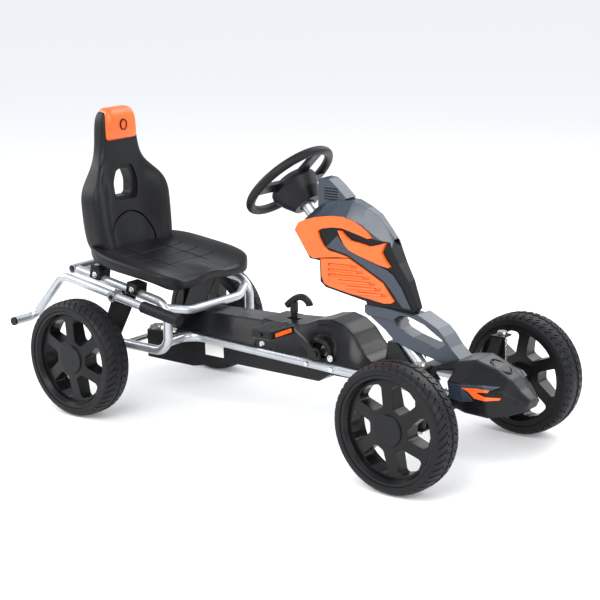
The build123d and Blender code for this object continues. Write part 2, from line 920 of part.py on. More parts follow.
def brake_pivot_bracket(outer_loops):
    """Block on the outside of the right seat tube, with the lever's pin."""
    x, z = brake_pivot_x, brake_pivot_z
    plate = block((x - 18, -loop_y - 26, z - 20), (x + 18, -loop_y - 3, z + 4))
    plate += cylinder((x, -loop_y - 20, z), (x, -brake_y + 16, z), 9)
    plate += cylinder((x, -loop_y - 20, z), (x, -brake_y - 17, z), brake_pin_radius)
    plate -= block((x - 40, -brake_y - 14.4, z - 40), (x + 40, -brake_y + 14.4, z + 40)) - cylinder(
        (x, -brake_y - 20, z), (x, -brake_y + 20, z), brake_pin_radius
    )
    for solid in outer_loops:
        plate -= solid
    save("brake_pivot_bracket", biggest(plate))


# ---------------------------------------------------------------------------
# Front axle, pillars, steering
# ---------------------------------------------------------------------------

def front_axle_beam():
    inner_y = kingpin_y - 22
    beam = cylinder((front_axle_x, -inner_y, axle_z), (front_axle_x, inner_y, axle_z), beam_radius)
    for side in (1, -1):
        y = sorted((side * inner_y, side * (inner_y + pillar_plate)))
        beam += block(
            (front_axle_x - 20, y[0], pillar_low_z), (front_axle_x + 20, y[1], pillar_high_z + pillar_plate)
        )
        reach = sorted((side * inner_y, side * (kingpin_y + 16)))
        for z in (pillar_low_z, pillar_high_z):
            beam += block(
                (front_axle_x - 16, reach[0], z), (front_axle_x + 16, reach[1], z + pillar_plate)
            )
        beam -= cylinder(
            (front_axle_x, side * kingpin_y, pillar_low_z - 5),
            (front_axle_x, side * kingpin_y, pillar_high_z + 10),
            kingpin_radius + running_clearance,
        )
        gusset = side_plate(
            [(front_axle_x - 3, axle_z), (front_axle_x + 3, axle_z),
             (front_axle_x + 3, pillar_high_z), (front_axle_x - 3, pillar_high_z)],
            side * inner_y - 2, side * inner_y + 2,
        )
        beam += gusset
        arm = ruled_loft(
            [
                [(front_axle_x - 14, side * inner_y, pillar_high_z - 20),
                 (front_axle_x + 14, side * inner_y, pillar_high_z - 20),
                 (front_axle_x + 14, side * inner_y, pillar_high_z),
                 (front_axle_x - 14, side * inner_y, pillar_high_z)],
                [(front_axle_x - 14, side * 70, axle_z),
                 (front_axle_x + 14, side * 70, axle_z),
                 (front_axle_x + 14, side * 70, axle_z + 12),
                 (front_axle_x - 14, side * 70, axle_z + 12)],
            ]
        )
        beam += arm
    return beam


def kingpin(side):
    """Turning pillar pin with its top nut and the steering arm below."""
    y = side * kingpin_y
    arm_top = pillar_low_z - arm_gap
    arm_low = arm_top - arm_thickness
    pin = cylinder(
        (front_axle_x, y, arm_low), (front_axle_x, y, pillar_high_z + 10), kingpin_radius
    )
    pin += cylinder(
        (front_axle_x, y, pillar_high_z + pillar_plate + 0.5), (front_axle_x, y, pillar_high_z + 12), 11
    )
    arm_x = front_axle_x - steering_arm_length
    arm = block((arm_x, y - 9, arm_low), (front_axle_x, y + 9, arm_top))
    arm += cylinder((arm_x, y, arm_low), (arm_x, y, arm_top), 9)
    arm += cylinder((front_axle_x, y, arm_low), (front_axle_x, y, arm_top), 12)
    arm += cylinder((arm_x, y, arm_low - 10), (arm_x, y, arm_low), tie_pin_radius)
    return pin + arm


def coil_spring(side):
    y = side * kingpin_y
    low = sleeve_top_z + 2.2
    high = pillar_high_z - 2.2
    height = high - low
    path = Helix(height / spring_turns, height, spring_coil_radius, center=(0, 0, 0))
    section = Plane(origin=path @ 0, z_dir=path % 0) * Circle(spring_wire_radius)
    coil = sweep(section, path=path, is_frenet=True)
    return Pos(front_axle_x, y, low) * coil


def knuckle(side):
    """Sleeve that slides on the pillar pin, with the stub axle."""
    y = side * kingpin_y
    low = pillar_low_z + pillar_plate + 0.4
    sleeve = cylinder((front_axle_x, y, low), (front_axle_x, y, sleeve_top_z), sleeve_radius)
    root = side * (wheel_y - rim_half_width - 0.4)
    tip = side * (wheel_y + 22)
    sleeve += cylinder((front_axle_x, y, axle_z), (front_axle_x, root, axle_z), 10)
    sleeve += cylinder((front_axle_x, y, axle_z), (front_axle_x, tip, axle_z), stub_axle_radius)
    sleeve += cylinder(
        (front_axle_x, side * (wheel_y + 22.4), axle_z),
        (front_axle_x, side * (wheel_y + 29), axle_z),
        nut_radius,
    )
    sleeve += cylinder(
        (front_axle_x, tip, axle_z), (front_axle_x, side * (wheel_y + 23), axle_z), stub_axle_radius
    )
    sleeve -= cylinder(
        (front_axle_x, y, low - 5), (front_axle_x, y, sleeve_top_z + 5),
        kingpin_radius + running_clearance,
    )
    return sleeve


def column_bracket(rails, cross):
    """Welded foot on the rails that holds the column tube."""
    x = front_axle_x - 193
    low = rail_z(x) - 4
    bracket = side_plate(
        [(x - 20, low), (x + 60, low), (x + 60, 214), (x + 18, 262), (x - 6, 262)], -20, 20
    )
    bracket += block((x - 20, -rail_y, low - 4), (x + 50, rail_y, low + 8))
    bracket -= cylinder(on_column(0), on_column(400), column_tube_radius)
    for solid in [*rails, *cross]:
        bracket -= solid
    save("column_bracket", biggest(bracket))


lean = math.radians(column_angle)
column_x = front_axle_x + column_foot_dx


def on_column(distance):
    """Point on the steering axis, measured up from its foot."""
    return (
        column_x - distance * math.cos(lean),
        0.0,
        column_foot_z + distance * math.sin(lean),
    )


tie_rod_z = pillar_low_z - arm_gap - arm_thickness - 5
drop_pin_x = column_x - (drop_radius - (column_foot_z - tie_rod_z) * math.cos(lean)) / math.sin(lean)


def tie_rod(side):
    """Rod from the steering arm's pin to the open eye round the drop pin."""
    outer = Vector(front_axle_x - steering_arm_length, side * kingpin_y, tie_rod_z)
    inner = Vector(drop_pin_x, 0, tie_rod_z)
    line = (inner - outer).normalized()
    rod = cylinder(outer + line * (tie_pin_radius + 2), inner - line * (open_eye_outer + 3), tie_rod_radius)
    rod += cylinder(outer - Vector(0, 0, 3.5), outer + Vector(0, 0, 3.5), 10)
    low = inner + Vector(0, 0, eye_gap if side > 0 else -eye_gap - eye_thickness)
    rod += cylinder(low, low + Vector(0, 0, eye_thickness), open_eye_outer)
    neck_low = low - line * (open_eye_outer + 8) + Vector(0, 0, eye_thickness / 2)
    neck_high = low - line * (open_eye_radius + 1) + Vector(0, 0, eye_thickness / 2)
    neck = Plane(origin=(neck_low + neck_high) * 0.5, x_dir=line, z_dir=(0, 0, 1)) * Box(
        (neck_high - neck_low).length, 10, eye_thickness
    )
    rod += neck
    rod -= cylinder(
        outer - Vector(0, 0, 20), outer + Vector(0, 0, 20), tie_pin_radius + running_clearance
    )
    rod -= cylinder(low - Vector(0, 0, 20), low + Vector(0, 0, 20), open_eye_radius)
    return biggest(rod)


def steering():
    tube_start = 34.0
    tube_end = column_length - hub_depth + 20
    bush_length = 22.0
    tube_bore = column_tube_radius - column_tube_wall
    column = pipe(on_column(tube_start), on_column(tube_end), column_tube_radius, tube_bore)
    save("column_tube", column)
    bushes = []
    for start in (tube_start, tube_end - bush_length):
        bushes.append(
            pipe(
                on_column(start),
                on_column(start + bush_length),
                tube_bore,
                column_shaft_radius + running_clearance,
            )
        )
    save("column_bushes", *bushes)
    shaft = cylinder(on_column(-4), on_column(column_length - hub_recess), column_shaft_radius)
    shaft += cylinder(on_column(-4), on_column(10), 14)
    shaft += cylinder(
        (drop_pin_x, 0, tie_rod_z - 14), (drop_pin_x, 0, column_foot_z + 8), drop_pin_radius
    )
    save("steering_shaft", shaft)


def steering_wheel():
    """Ring grip and a deep three-spoked hub, both square to the column."""
    centre = on_column(column_length)
    axis = Vector(*on_column(1)) - Vector(*on_column(0))
    plane = Plane(origin=centre, x_dir=(0, 1, 0), z_dir=axis)
    ring_radius = steering_wheel_diameter / 2 - grip_radius
    ring = plane * Torus(ring_radius, grip_radius)
    profile = make_face(
        Polyline(
            (0, 4), (40, 4), (50, 0), (60, -12), (62, -22), (50, -50), (34, -76), (31, -hub_depth + 8),
            (20, -hub_depth + 8), (20, -hub_depth + 26), (column_shaft_radius, -hub_depth + 26),
            (column_shaft_radius, -hub_recess), (0, -hub_recess),
            close=True,
        )
    )
    hub = plane * revolve(Plane.XZ * profile, Axis.Z)
    spokes = None
    for angle in (0, 180, 270):
        spoke = Rot(0, 0, angle) * Pos((50 + ring_radius) / 2, 0, -7) * Box(
            ring_radius - 50 + 2, 34, 9
        )
        spokes = spoke if spokes is None else spokes + spoke
    hub += plane * spokes
    hub -= ring
    save("steering_wheel_ring", ring)
    save("steering_wheel_hub", biggest(hub))


# ---------------------------------------------------------------------------
# Steering cowl and nose
# ---------------------------------------------------------------------------

def cowl_half_width(x):
    """Half width of the cowl's flat sides, narrowing forward."""
    start, wide = front_axle_x - 465.0, 74.0
    return wide - 0.19 * (x - start)


def wedge(x_low, x_high, inset, outset):
    """Slab on the right side between two offsets from the cowl's flat side."""
    a, b = cowl_half_width(x_low), cowl_half_width(x_high)
    corners = [
        (x_low, -a - outset), (x_high, -b - outset), (x_high, -b + inset), (x_low, -a + inset)
    ]
    return Pos(0, 0, 200) * extrude(make_face(Polyline(*corners, close=True)), 500)


def flank_panel(outline, inset, outset, rounding=0.0):
    """Panel with an (x, z) outline, relative to the front axle, lying on the cowl's side."""
    points = [(front_axle_x + x, z) for x, z in outline]
    plate = side_plate(points, -140, 0, rounding)
    xs = [p[0] for p in points]
    return plate & wedge(min(xs) - 10, max(xs) + 10, inset, outset)


cowl_c_panel = [
    (-432, 517), (-423, 533), (-407, 540), (-381, 548), (-341, 554), (-310, 554), (-284, 547),
    (-264, 536), (-246, 523), (-233, 509), (-244, 507), (-259, 512), (-285, 520), (-310, 527),
    (-336, 527), (-363, 522), (-373, 515), (-368, 498), (-358, 480), (-345, 470), (-324, 466),
    (-301, 460), (-293, 457), (-325, 456), (-366, 451), (-385, 448), (-396, 454), (-414, 482),
    (-427, 503),
]
cowl_blade = [
    (-318, 521), (-310, 520), (-300, 509), (-287, 499), (-264, 495), (-238, 489), (-220, 493),
    (-200, 500), (-197, 498), (-207, 476), (-200, 462), (-186, 444), (-190, 442), (-213, 447),
    (-238, 456), (-264, 465), (-290, 476), (-302, 489), (-313, 508),
]
cowl_lower_panel = [
    (-366, 449), (-293, 455), (-275, 445), (-250, 430), (-222, 413), (-206, 403), (-191, 381),
    (-177, 362), (-184, 357), (-202, 355), (-240, 362), (-292, 371), (-344, 383), (-357, 389),
    (-364, 406),
]
cowl_body_outline = [
    (-437, 512), (-398, 446), (-372, 443), (-371, 392), (-357, 379), (-252, 354), (-250, 346),
    (-191, 344), (-130, 336), (-118, 350), (-143, 412), (-168, 452), (-192, 500), (-235, 506),
    (-262, 530), (-286, 544), (-343, 552), (-409, 540),
]
cowl_spar = [
    (-352, 478), (-322, 508), (-306, 488), (-292, 474), (-262, 462), (-236, 452), (-200, 438),
    (-180, 424), (-160, 396), (-136, 346), (-156, 348), (-172, 368), (-190, 392), (-204, 408),
    (-222, 419), (-250, 436), (-280, 454), (-298, 464), (-322, 470),
]


def cowl():
    body = flank_panel(cowl_body_outline, 200, 0)
    body &= block((-2000, -200, 0), (2000, 0, 900))
    whole = body + mirrored(body)
    points = [(front_axle_x + x, z) for x, z in cowl_body_outline]
    inner_face = offset(make_face(Polyline(*points, close=True)), -5, kind=Kind.INTERSECTION)
    cavity = extrude(Plane.XZ.offset(140) * inner_face, -140)
    cavity &= wedge(front_axle_x - 460, front_axle_x - 90, 200, -4)
    cavity &= block((-2000, -200, 0), (2000, 0, 900))
    whole -= cavity + mirrored(cavity)
    column_way = cylinder(on_column(60), on_column(column_length), column_tube_radius + 1.5)
    whole -= column_way
    save("cowl_body", biggest(whole))

    stations = [
        (-410, 541, 560, 20), (-375, 550, 580, 22), (-335, 555, 588, 20), (-300, 553, 588, 16),
        (-262, 538, 574, 14), (-232, 515, 560, 10), (-205, 500, 531, 9), (-186, 490, 509, 8),
    ]

    def top_sections(drop, shrink):
        sections = []
        for index, (dx, side_z, ridge_z, ridge_half) in enumerate(stations):
            end = {0: -1, len(stations) - 1: 1}.get(index, 0) if shrink else 0
            x = front_axle_x + dx + end
            half = cowl_half_width(x)
            low = side_z - 14
            sections.append(
                [(x, -half + shrink, low - drop), (x, -half + shrink, side_z - drop),
                 (x, -ridge_half, ridge_z - drop), (x, ridge_half, ridge_z - drop),
                 (x, half - shrink, side_z - drop), (x, half - shrink, low - drop)]
            )
        return sections

    top = ruled_loft(top_sections(0, 0)) - ruled_loft(top_sections(3.5, 3.5))
    top -= body + mirrored(body)
    top -= column_way
    top = biggest(top)
    spar = biggest(flank_panel(cowl_spar, 0, 4) - top - flank_panel(cowl_c_panel, 0, 6))
    save("cowl_top", top, spar, mirrored(spar))

    pod_outline = [
        (front_axle_x - 404, 564), (front_axle_x - 402, 632), (front_axle_x - 390, 636),
        (front_axle_x - 370, 634), (front_axle_x - 349, 619), (front_axle_x - 318, 592),
        (front_axle_x - 332, 576), (front_axle_x - 396, 556),
    ]
    pod = side_plate(pod_outline, -19, 19)
    for side in (1, -1):
        lean_cut = Pos(front_axle_x - 350, side * 31, 636) * Rot(side * 14, 0, 0) * Box(140, 24, 150)
        pod -= lean_cut
    pod -= ruled_loft(top_sections(0, 0))
    pod -= column_way
    save("horn_pod", biggest(pod))

    c_panel = flank_panel(cowl_c_panel, 0, 6)
    blade = flank_panel(cowl_blade, 0, 9)
    lower = flank_panel(cowl_lower_panel, 0, 6)
    for index in range(6):
        z = 437 - index * 12.5
        start = -346 + max(0, index - 2) * 25
        finish = -270 + index * 15
        cut = block(
            (front_axle_x + start, -140, z - 4), (front_axle_x + finish, 0, z + 3)
        )
        lower -= cut & wedge(front_axle_x - 400, front_axle_x - 100, -1.5, 20)
    c_panel = biggest(c_panel - top)
    blade = biggest(blade - top - c_panel - spar)
    lower = biggest(lower - spar - c_panel)
    save("cowl_side_panels", c_panel, mirrored(c_panel))
    save("cowl_blades", blade, mirrored(blade))
    save("cowl_lower_panels", lower, mirrored(lower))


def cowl_legs():
    """Open side frame that carries the cowl down to the nose."""
    half = 26.0
    outline = [
        (-262, 343), (-262, 325), (-245, 313), (-206, 289), (-178, 264), (-134, 252), (-91, 244),
        (-49, 236), (30, 236), (20, 242), (3, 257), (-17, 275), (-36, 299), (-53, 315), (-81, 328),
        (-110, 341), (-124, 335), (-190, 342.5), (-249, 344.5),
    ]
    window = [
        (-178, 318), (-160, 331), (-130, 331), (-90, 319), (-70, 307), (-37, 288), (-30, 280),
        (-52, 266), (-83, 273), (-125, 283), (-160, 296),
    ]
    low_side = [
        (-300, 220), (-60, 220), (-60, 262), (-83, 276), (-125, 286), (-160, 300), (-186, 318),
        (-300, 318),
    ]
    legs = side_plate([(front_axle_x + x, z) for x, z in outline], -half, half)
    legs -= side_plate([(front_axle_x + x, z) for x, z in window], -half - 5, half + 5, 3)
    for side in (1, -1):
        y = sorted((side * 21, side * (half + 1)))
        legs -= side_plate([(front_axle_x + x, z) for x, z in low_side], *y)
    legs -= cylinder(on_column(40), on_column(column_length), column_tube_radius + 1.5)
    return biggest(legs)


def nose_sections(shrink):
    rows = [
        (-92, 92, 60, 190, 218, 226), (-40, 100, 56, 176, 221, 235), (10, 100, 46, 164, 221, 252),
        (60, 96, 36, 148, 219, 262), (112, 80, 28, 140, 213, 246), (145, 58, 22, 144, 201, 224),
        (166, 44, 16, 150, 188, 202), (190, 28, 10, 162, 173, 181),
    ]
    sections = []
    for index, (dx, half, top_half, low, side_z, top) in enumerate(rows):
        shift = 0.0
        if shrink and index == len(rows) - 1:
            shift = -6.0
        if shrink and index == 0:
            shift = -1.0
        x = front_axle_x + dx * front_overhang / 190.0 + shift
        rim_z = side_z - shrink
        low_z = low - (1 if shrink else 0)
        sections.append(
            [(x, -half + shrink + 14, low_z), (x, -half + shrink, rim_z),
             (x, -top_half + shrink / 2, top - shrink), (x, top_half - shrink / 2, top - shrink),
             (x, half - shrink, rim_z), (x, half - shrink - 14, low_z)]
        )
    return sections


def nose(legs):
    shell = ruled_loft(nose_sections(0)) - ruled_loft(nose_sections(3.5))
    shell -= block(
        (front_axle_x - 24, -200, 0), (front_axle_x + 24, 200, axle_z + beam_radius + 6)
    )
    shell -= block(
        (front_axle_x - 24, 66, 0), (front_axle_x + 24, 200, 300)
    )
    shell -= block(
        (front_axle_x - 24, -200, 0), (front_axle_x + 24, -66, 300)
    )
    for side in (1, -1):
        y = sorted((side * (rail_y - rail_radius - 2), side * (rail_y + rail_radius + 2)))
        shell -= block(
            (front_axle_x - 150, y[0], 150), (front_axle_x + 26, y[1], rail_top(front_axle_x) + 3)
        )
    shell -= block((front_axle_x - 100, -40, 100), (front_axle_x - 30, 40, 200))
    shell -= cylinder(on_column(-20), on_column(column_length), column_tube_radius + 2)
    shell -= cylinder(on_column(-30), on_column(30), 30)
    shell -= legs
    shell = biggest(shell)
    save("nose_cover", shell)
    outer = ruled_loft(nose_sections(0))
    grown = ruled_loft(nose_sections(-4.0))

    def skin(outline, y_low, y_high):
        points = [(front_axle_x + x, z) for x, z in outline]
        plate = side_plate(points, y_low, y_high)
        piece = (plate & grown) - outer
        return biggest(piece)

    cheek = skin(
        [(26, 218), (53, 218), (107, 219), (136, 214), (124, 209), (98, 210), (62, 208), (74, 198),
         (84, 180), (58, 176), (28, 180)],
        -140, -40,
    )
    accent = skin(
        [(60, 211), (96, 213), (122, 210), (118, 204), (98, 203), (94, 200), (110, 193), (142, 191),
         (139, 186), (112, 183), (88, 187), (76, 202)],
        -140, -30,
    )
    cheek -= accent
    cheek = biggest(cheek)
    save("nose_cheeks", cheek, mirrored(cheek))
    save("nose_accents", accent, mirrored(accent))


# ---------------------------------------------------------------------------
# Seat
# ---------------------------------------------------------------------------

def seat():
    """One-piece bucket: a pan open below and a back with a headrest hole."""
    rear = rear_axle_x - 92
    front = rear_axle_x + 265
    rows = [
        (rear, 110, 150, 374, 394), (rear + 40, 150, 170, 360, 392),
        (rear + 120, 178, 186, 347, 384), (rear + 240, 182, 182, 329, 368),
        (rear + 320, 176, 170, 322, 360), (front, 140, 128, 326, 346),
    ]

    def pan_sections(shrink):
        sections = []
        for index, (x, low_half, top_half, low, top) in enumerate(rows):
            shift = 0
            if shrink:
                shift = {0: seat_wall, len(rows) - 1: -seat_wall}.get(index, 0)
            low_z = low - (1 if shrink else 0)
            sections.append(
                [(x + shift, -low_half + shrink, low_z), (x + shift, -top_half + shrink, top - 14 - shrink),
                 (x + shift, -top_half + 22, top - shrink), (x + shift, top_half - 22, top - shrink),
                 (x + shift, top_half - shrink, top - 14 - shrink), (x + shift, low_half - shrink, low_z)]
            )
        return sections

    pan = ruled_loft(pan_sections(0)) - ruled_loft(pan_sections(seat_wall))
    back_rows = [
        (364, 118, 8, 44), (400, 136, 4, 46), (470, 142, 0, 44), (540, 142, -4, 42),
        (580, 112, -7, 40), (620, 80, -9, 38), (690, 66, -12, 40), (730, 62, -14, 40),
        (seat_top_z, 50, -16, 30),
    ]
    back_x = rear_axle_x - 92
    sections = []
    for z, half, dx, thickness in back_rows:
        x = back_x + dx
        wing = 26 if half > 110 else 12
        sections.append(
            [(x - thickness / 2, -half + 20, z), (x - thickness / 2 + wing / 2, -half, z),
             (x + thickness / 2 + wing, -half + 4, z), (x + thickness / 2, -half + 34, z),
             (x + thickness / 2, half - 34, z), (x + thickness / 2 + wing, half - 4, z),
             (x - thickness / 2 + wing / 2, half, z), (x - thickness / 2, half - 20, z)]
        )
    back = ruled_loft(sections)
    hole_outline = [(-30, 520), (30, 520), (34, 560), (22, 592), (-22, 592), (-34, 560)]
    hole_face = fillet(make_face(Polyline(*hole_outline, close=True)).vertices(), 8)
    back -= Pos(back_x - 120, 0, 0) * extrude(Plane.YZ * hole_face, 240)
    shell = pan + back
    pad_low, pad_high = 668.0, seat_top_z + 7
    pad = block((back_x - 34, -56, pad_low), (back_x + 16, 56, pad_high))
    pad = fillet(pad.edges().filter_by(Axis.X).group_by(Axis.Z)[-1], 26)
    recess = ruled_loft(sections)
    pad -= recess
    pad = biggest(pad)
    shell = biggest(shell)
    disc_x = back_x + 16
    disc = cylinder((disc_x, 0, 706), (disc_x + 2.5, 0, 706), 15)
    save("seat_shell", shell)
    save("headrest_pad", pad)
    save("headrest_disc", disc)
    clamps = []
    angle = math.radians(loop_slope_deg)
    along = Vector(math.cos(angle), 0, -math.sin(angle))
    up = Vector(math.sin(angle), 0, math.cos(angle))
    for side in (1, -1):
        for dx in (-22, 108):
            x = rear_axle_x + dx
            centre = Vector(x, side * loop_y, loop_top_z(x))
            plane = Plane(origin=centre, x_dir=along, z_dir=up)
            clamp = plane * Pos(0, 0, 14) * Box(34, 40, 26)
            bore = plane * Rot(0, 90, 0) * Cylinder(loop_tube_radius + seat_travel_clearance, 400)
            clamp -= bore
            clamp -= plane * Pos(0, 0, -40) * Box(200, 100, 80)
            clamp = biggest(clamp)
            riser = block(
                (x - 15, side * loop_y - 16, centre.Z + 16), (x + 15, side * loop_y + 16, 420)
            )
            riser -= ruled_loft(pan_sections(0))
            riser = sorted(riser.solids(), key=lambda s: s.center().Z)[0]
            piece = clamp + riser
            piece -= shell
            clamps.append(sorted(piece.solids(), key=lambda s: s.center().Z)[0])
    save("seat_clamps", *clamps)


# ---------------------------------------------------------------------------
# Build
# ---------------------------------------------------------------------------

def main():
    os.makedirs("parts", exist_ok=True)
    wheels()
    outer_loops = seat_frame()
    rails, cross = main_frame(outer_loops)
    axle_bearings = rear_axle_brackets(outer_loops)
    hangers, crank_bearings, bolts = crank_hangers(rails)
    save("shaft_bearings", *axle_bearings, *crank_bearings)
    save("frame_bolts", *bolts)
    drive_chain()
    rear_axle()
    crank()
    chain_covers()
    belly_tray(cross, hangers)
    shift_lever(rails)
    brake_lever()
    brake_pivot_bracket(outer_loops)
    beam = front_axle_beam()
    for rail in rails:
        beam -= rail
    beam = biggest(beam)
    save("front_axle_beam", beam)
    for side, word in ((1, "left"), (-1, "right")):
        save(f"kingpin_{word}", kingpin(side))
        save(f"pillar_spring_{word}", coil_spring(side))
        save(f"knuckle_{word}", knuckle(side))
        save(f"tie_rod_{word}", tie_rod(side))
    steering()
    steering_wheel()
    cowl()
    legs = cowl_legs()
    save("cowl_legs", legs)
    nose(legs)
    column_bracket(rails, cross)
    seat()


main()
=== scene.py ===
import bpy
import json
import math
from bpy.props import FloatProperty, FloatVectorProperty, IntProperty, PointerProperty
from mathutils import Matrix, Vector

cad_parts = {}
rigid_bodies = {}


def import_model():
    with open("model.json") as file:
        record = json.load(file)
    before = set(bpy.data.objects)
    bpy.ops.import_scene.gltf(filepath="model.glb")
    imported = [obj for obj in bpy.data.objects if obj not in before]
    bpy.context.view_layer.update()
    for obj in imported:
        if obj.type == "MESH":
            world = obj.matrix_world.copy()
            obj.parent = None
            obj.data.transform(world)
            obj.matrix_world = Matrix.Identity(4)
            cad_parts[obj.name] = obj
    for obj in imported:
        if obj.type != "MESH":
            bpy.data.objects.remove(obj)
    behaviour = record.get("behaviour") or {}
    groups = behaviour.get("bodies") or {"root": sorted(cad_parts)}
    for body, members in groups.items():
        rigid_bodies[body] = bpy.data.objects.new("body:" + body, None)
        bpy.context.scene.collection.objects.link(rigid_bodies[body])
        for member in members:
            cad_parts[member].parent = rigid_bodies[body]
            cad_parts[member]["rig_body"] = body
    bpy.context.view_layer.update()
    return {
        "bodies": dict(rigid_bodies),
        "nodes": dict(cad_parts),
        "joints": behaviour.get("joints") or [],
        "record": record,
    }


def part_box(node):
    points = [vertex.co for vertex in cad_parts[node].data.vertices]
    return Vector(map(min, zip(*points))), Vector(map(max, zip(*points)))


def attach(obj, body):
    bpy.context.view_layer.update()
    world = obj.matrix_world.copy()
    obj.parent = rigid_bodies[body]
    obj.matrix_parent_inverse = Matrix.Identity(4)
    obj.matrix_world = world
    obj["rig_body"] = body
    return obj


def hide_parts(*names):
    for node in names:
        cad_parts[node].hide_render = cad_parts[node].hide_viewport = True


bl_info = {
    "name": "Pedal go kart looks",
    "version": (1, 0, 0),
    "blender": (4, 5, 0),
    "location": "3D View > Sidebar > Kart",
    "description": "Builds the visible pieces, finishes and studio of a pedal go kart.",
    "category": "Object",
}

FRAME = {}
CORNER_REACH = 0.00001
FAR = 4.0
SUNK = 0.0008


# ---------------------------------------------------------------------------
# Settings
# ---------------------------------------------------------------------------

class KartColours(bpy.types.PropertyGroup):
    """Base colours of the kart's finishes."""

    black: FloatVectorProperty(
        name="Black", description="Moulded black plastic and paint", subtype="COLOR",
        default=(0.0045, 0.0047, 0.0055), min=0.0, max=1.0,
    )
    orange: FloatVectorProperty(
        name="Orange", description="Accent panels", subtype="COLOR",
        default=(0.9, 0.125, 0.010), min=0.0, max=1.0,
    )
    slate: FloatVectorProperty(
        name="Slate", description="Dark blue-grey cowl plastic", subtype="COLOR",
        default=(0.022, 0.034, 0.052), min=0.0, max=1.0,
    )
    silver: FloatVectorProperty(
        name="Silver", description="Painted frame tubes", subtype="COLOR",
        default=(0.48, 0.5, 0.53), min=0.0, max=1.0,
    )


class KartSeat(bpy.types.PropertyGroup):
    """Sizes of the moulded seat."""

    half_width: FloatProperty(
        name="Half width", description="Half of the pan's width", subtype="DISTANCE",
        default=0.184, min=0.1, max=0.25,
    )
    groove: FloatProperty(
        name="Groove", description="Width of the moulded grooves", subtype="DISTANCE",
        default=0.0035, min=0.001, max=0.01,
    )


class KartTyres(bpy.types.PropertyGroup):
    """Tread of the tyres."""

    blocks: IntProperty(
        name="Blocks", description="Tread blocks round a tyre", default=48, min=12, max=120,
    )
    depth: FloatProperty(
        name="Depth", description="Depth of the tread grooves", subtype="DISTANCE",
        default=0.0022, min=0.0005, max=0.006,
    )


class KartStudio(bpy.types.PropertyGroup):
    """Camera and light of the studio."""

    lens: FloatProperty(
        name="Lens", description="Focal length in millimetres", default=103.53, min=20.0, max=300.0,
    )
    azimuth: FloatProperty(
        name="Azimuth", description="Camera direction round the kart", subtype="ANGLE",
        default=math.radians(39.35),
    )
    elevation: FloatProperty(
        name="Elevation", description="Camera height angle", subtype="ANGLE",
        default=math.radians(13.81),
    )
    roll: FloatProperty(
        name="Roll", description="Camera roll", subtype="ANGLE", default=math.radians(-1.18),
    )
    place: FloatVectorProperty(
        name="Place", description="Camera place", subtype="TRANSLATION", unit="LENGTH",
        default=(2.6637, -3.1989, 1.3356),
    )
    key_power: FloatProperty(
        name="Key light", description="Power of the main soft light", unit="POWER",
        default=95.0, min=0.0,
    )


# ---------------------------------------------------------------------------
# Finishes
# ---------------------------------------------------------------------------

def new_material(name):
    """An empty node material with its output and main shader."""
    material = bpy.data.materials.new(name)
    material.use_nodes = True
    tree = material.node_tree
    tree.nodes.clear()
    output = tree.nodes.new("ShaderNodeOutputMaterial")
    shader = tree.nodes.new("ShaderNodeBsdfPrincipled")
    tree.links.new(shader.outputs["BSDF"], output.inputs["Surface"])
    return material, tree, shader


def noise(tree, scale, detail, vector):
    node = tree.nodes.new("ShaderNodeTexNoise")
    node.inputs["Scale"].default_value = scale
    node.inputs["Detail"].default_value = detail
    tree.links.new(vector, node.inputs["Vector"])
    return node.outputs["Fac"]


def ranged(tree, value, low, high):
    node = tree.nodes.new("ShaderNodeMapRange")
    node.inputs["From Min"].default_value = 0.3
    node.inputs["From Max"].default_value = 0.7
    node.inputs["To Min"].default_value = low
    node.inputs["To Max"].default_value = high
    tree.links.new(value, node.inputs["Value"])
    return node.outputs["Result"]


def finish(name, colour, rough, metallic=0.0, grain=900.0, relief=0.12, soften=0.0012,
           coat=0.0, spread=0.25, shine=0.5):
    """Procedural finish: soft edges, fine grain, uneven gloss and slight colour drift."""
    material, tree, shader = new_material(name)
    place = tree.nodes.new("ShaderNodeTexCoord").outputs["Object"]
    fine = noise(tree, grain, 3.0, place)
    broad = noise(tree, 9.0, 4.0, place)
    shader.inputs["Metallic"].default_value = metallic
    shader.inputs["Specular IOR Level"].default_value = shine
    shader.inputs["Coat Weight"].default_value = coat
    shader.inputs["Coat Roughness"].default_value = 0.15
    drift = tree.nodes.new("ShaderNodeMix")
    drift.data_type = "RGBA"
    drift.inputs[6].default_value = (*[c * 0.82 for c in colour], 1.0)
    drift.inputs[7].default_value = (*[min(1.0, c * 1.15) for c in colour], 1.0)
    tree.links.new(ranged(tree, broad, 0.0, 1.0), drift.inputs[0])
    tree.links.new(drift.outputs[2], shader.inputs["Base Color"])
    gloss = ranged(tree, broad, rough * (1 - spread), min(1.0, rough * (1 + spread)))
    tree.links.new(gloss, shader.inputs["Roughness"])
    bump = tree.nodes.new("ShaderNodeBump")
    bump.inputs["Strength"].default_value = relief
    bump.inputs["Distance"].default_value = 0.0006
    tree.links.new(fine, bump.inputs["Height"])
    if soften:
        bevel = tree.nodes.new("ShaderNodeBevel")
        bevel.samples = 4
        bevel.inputs["Radius"].default_value = soften
        tree.links.new(bevel.outputs["Normal"], bump.inputs["Normal"])
    tree.links.new(bump.outputs["Normal"], shader.inputs["Normal"])
    return material


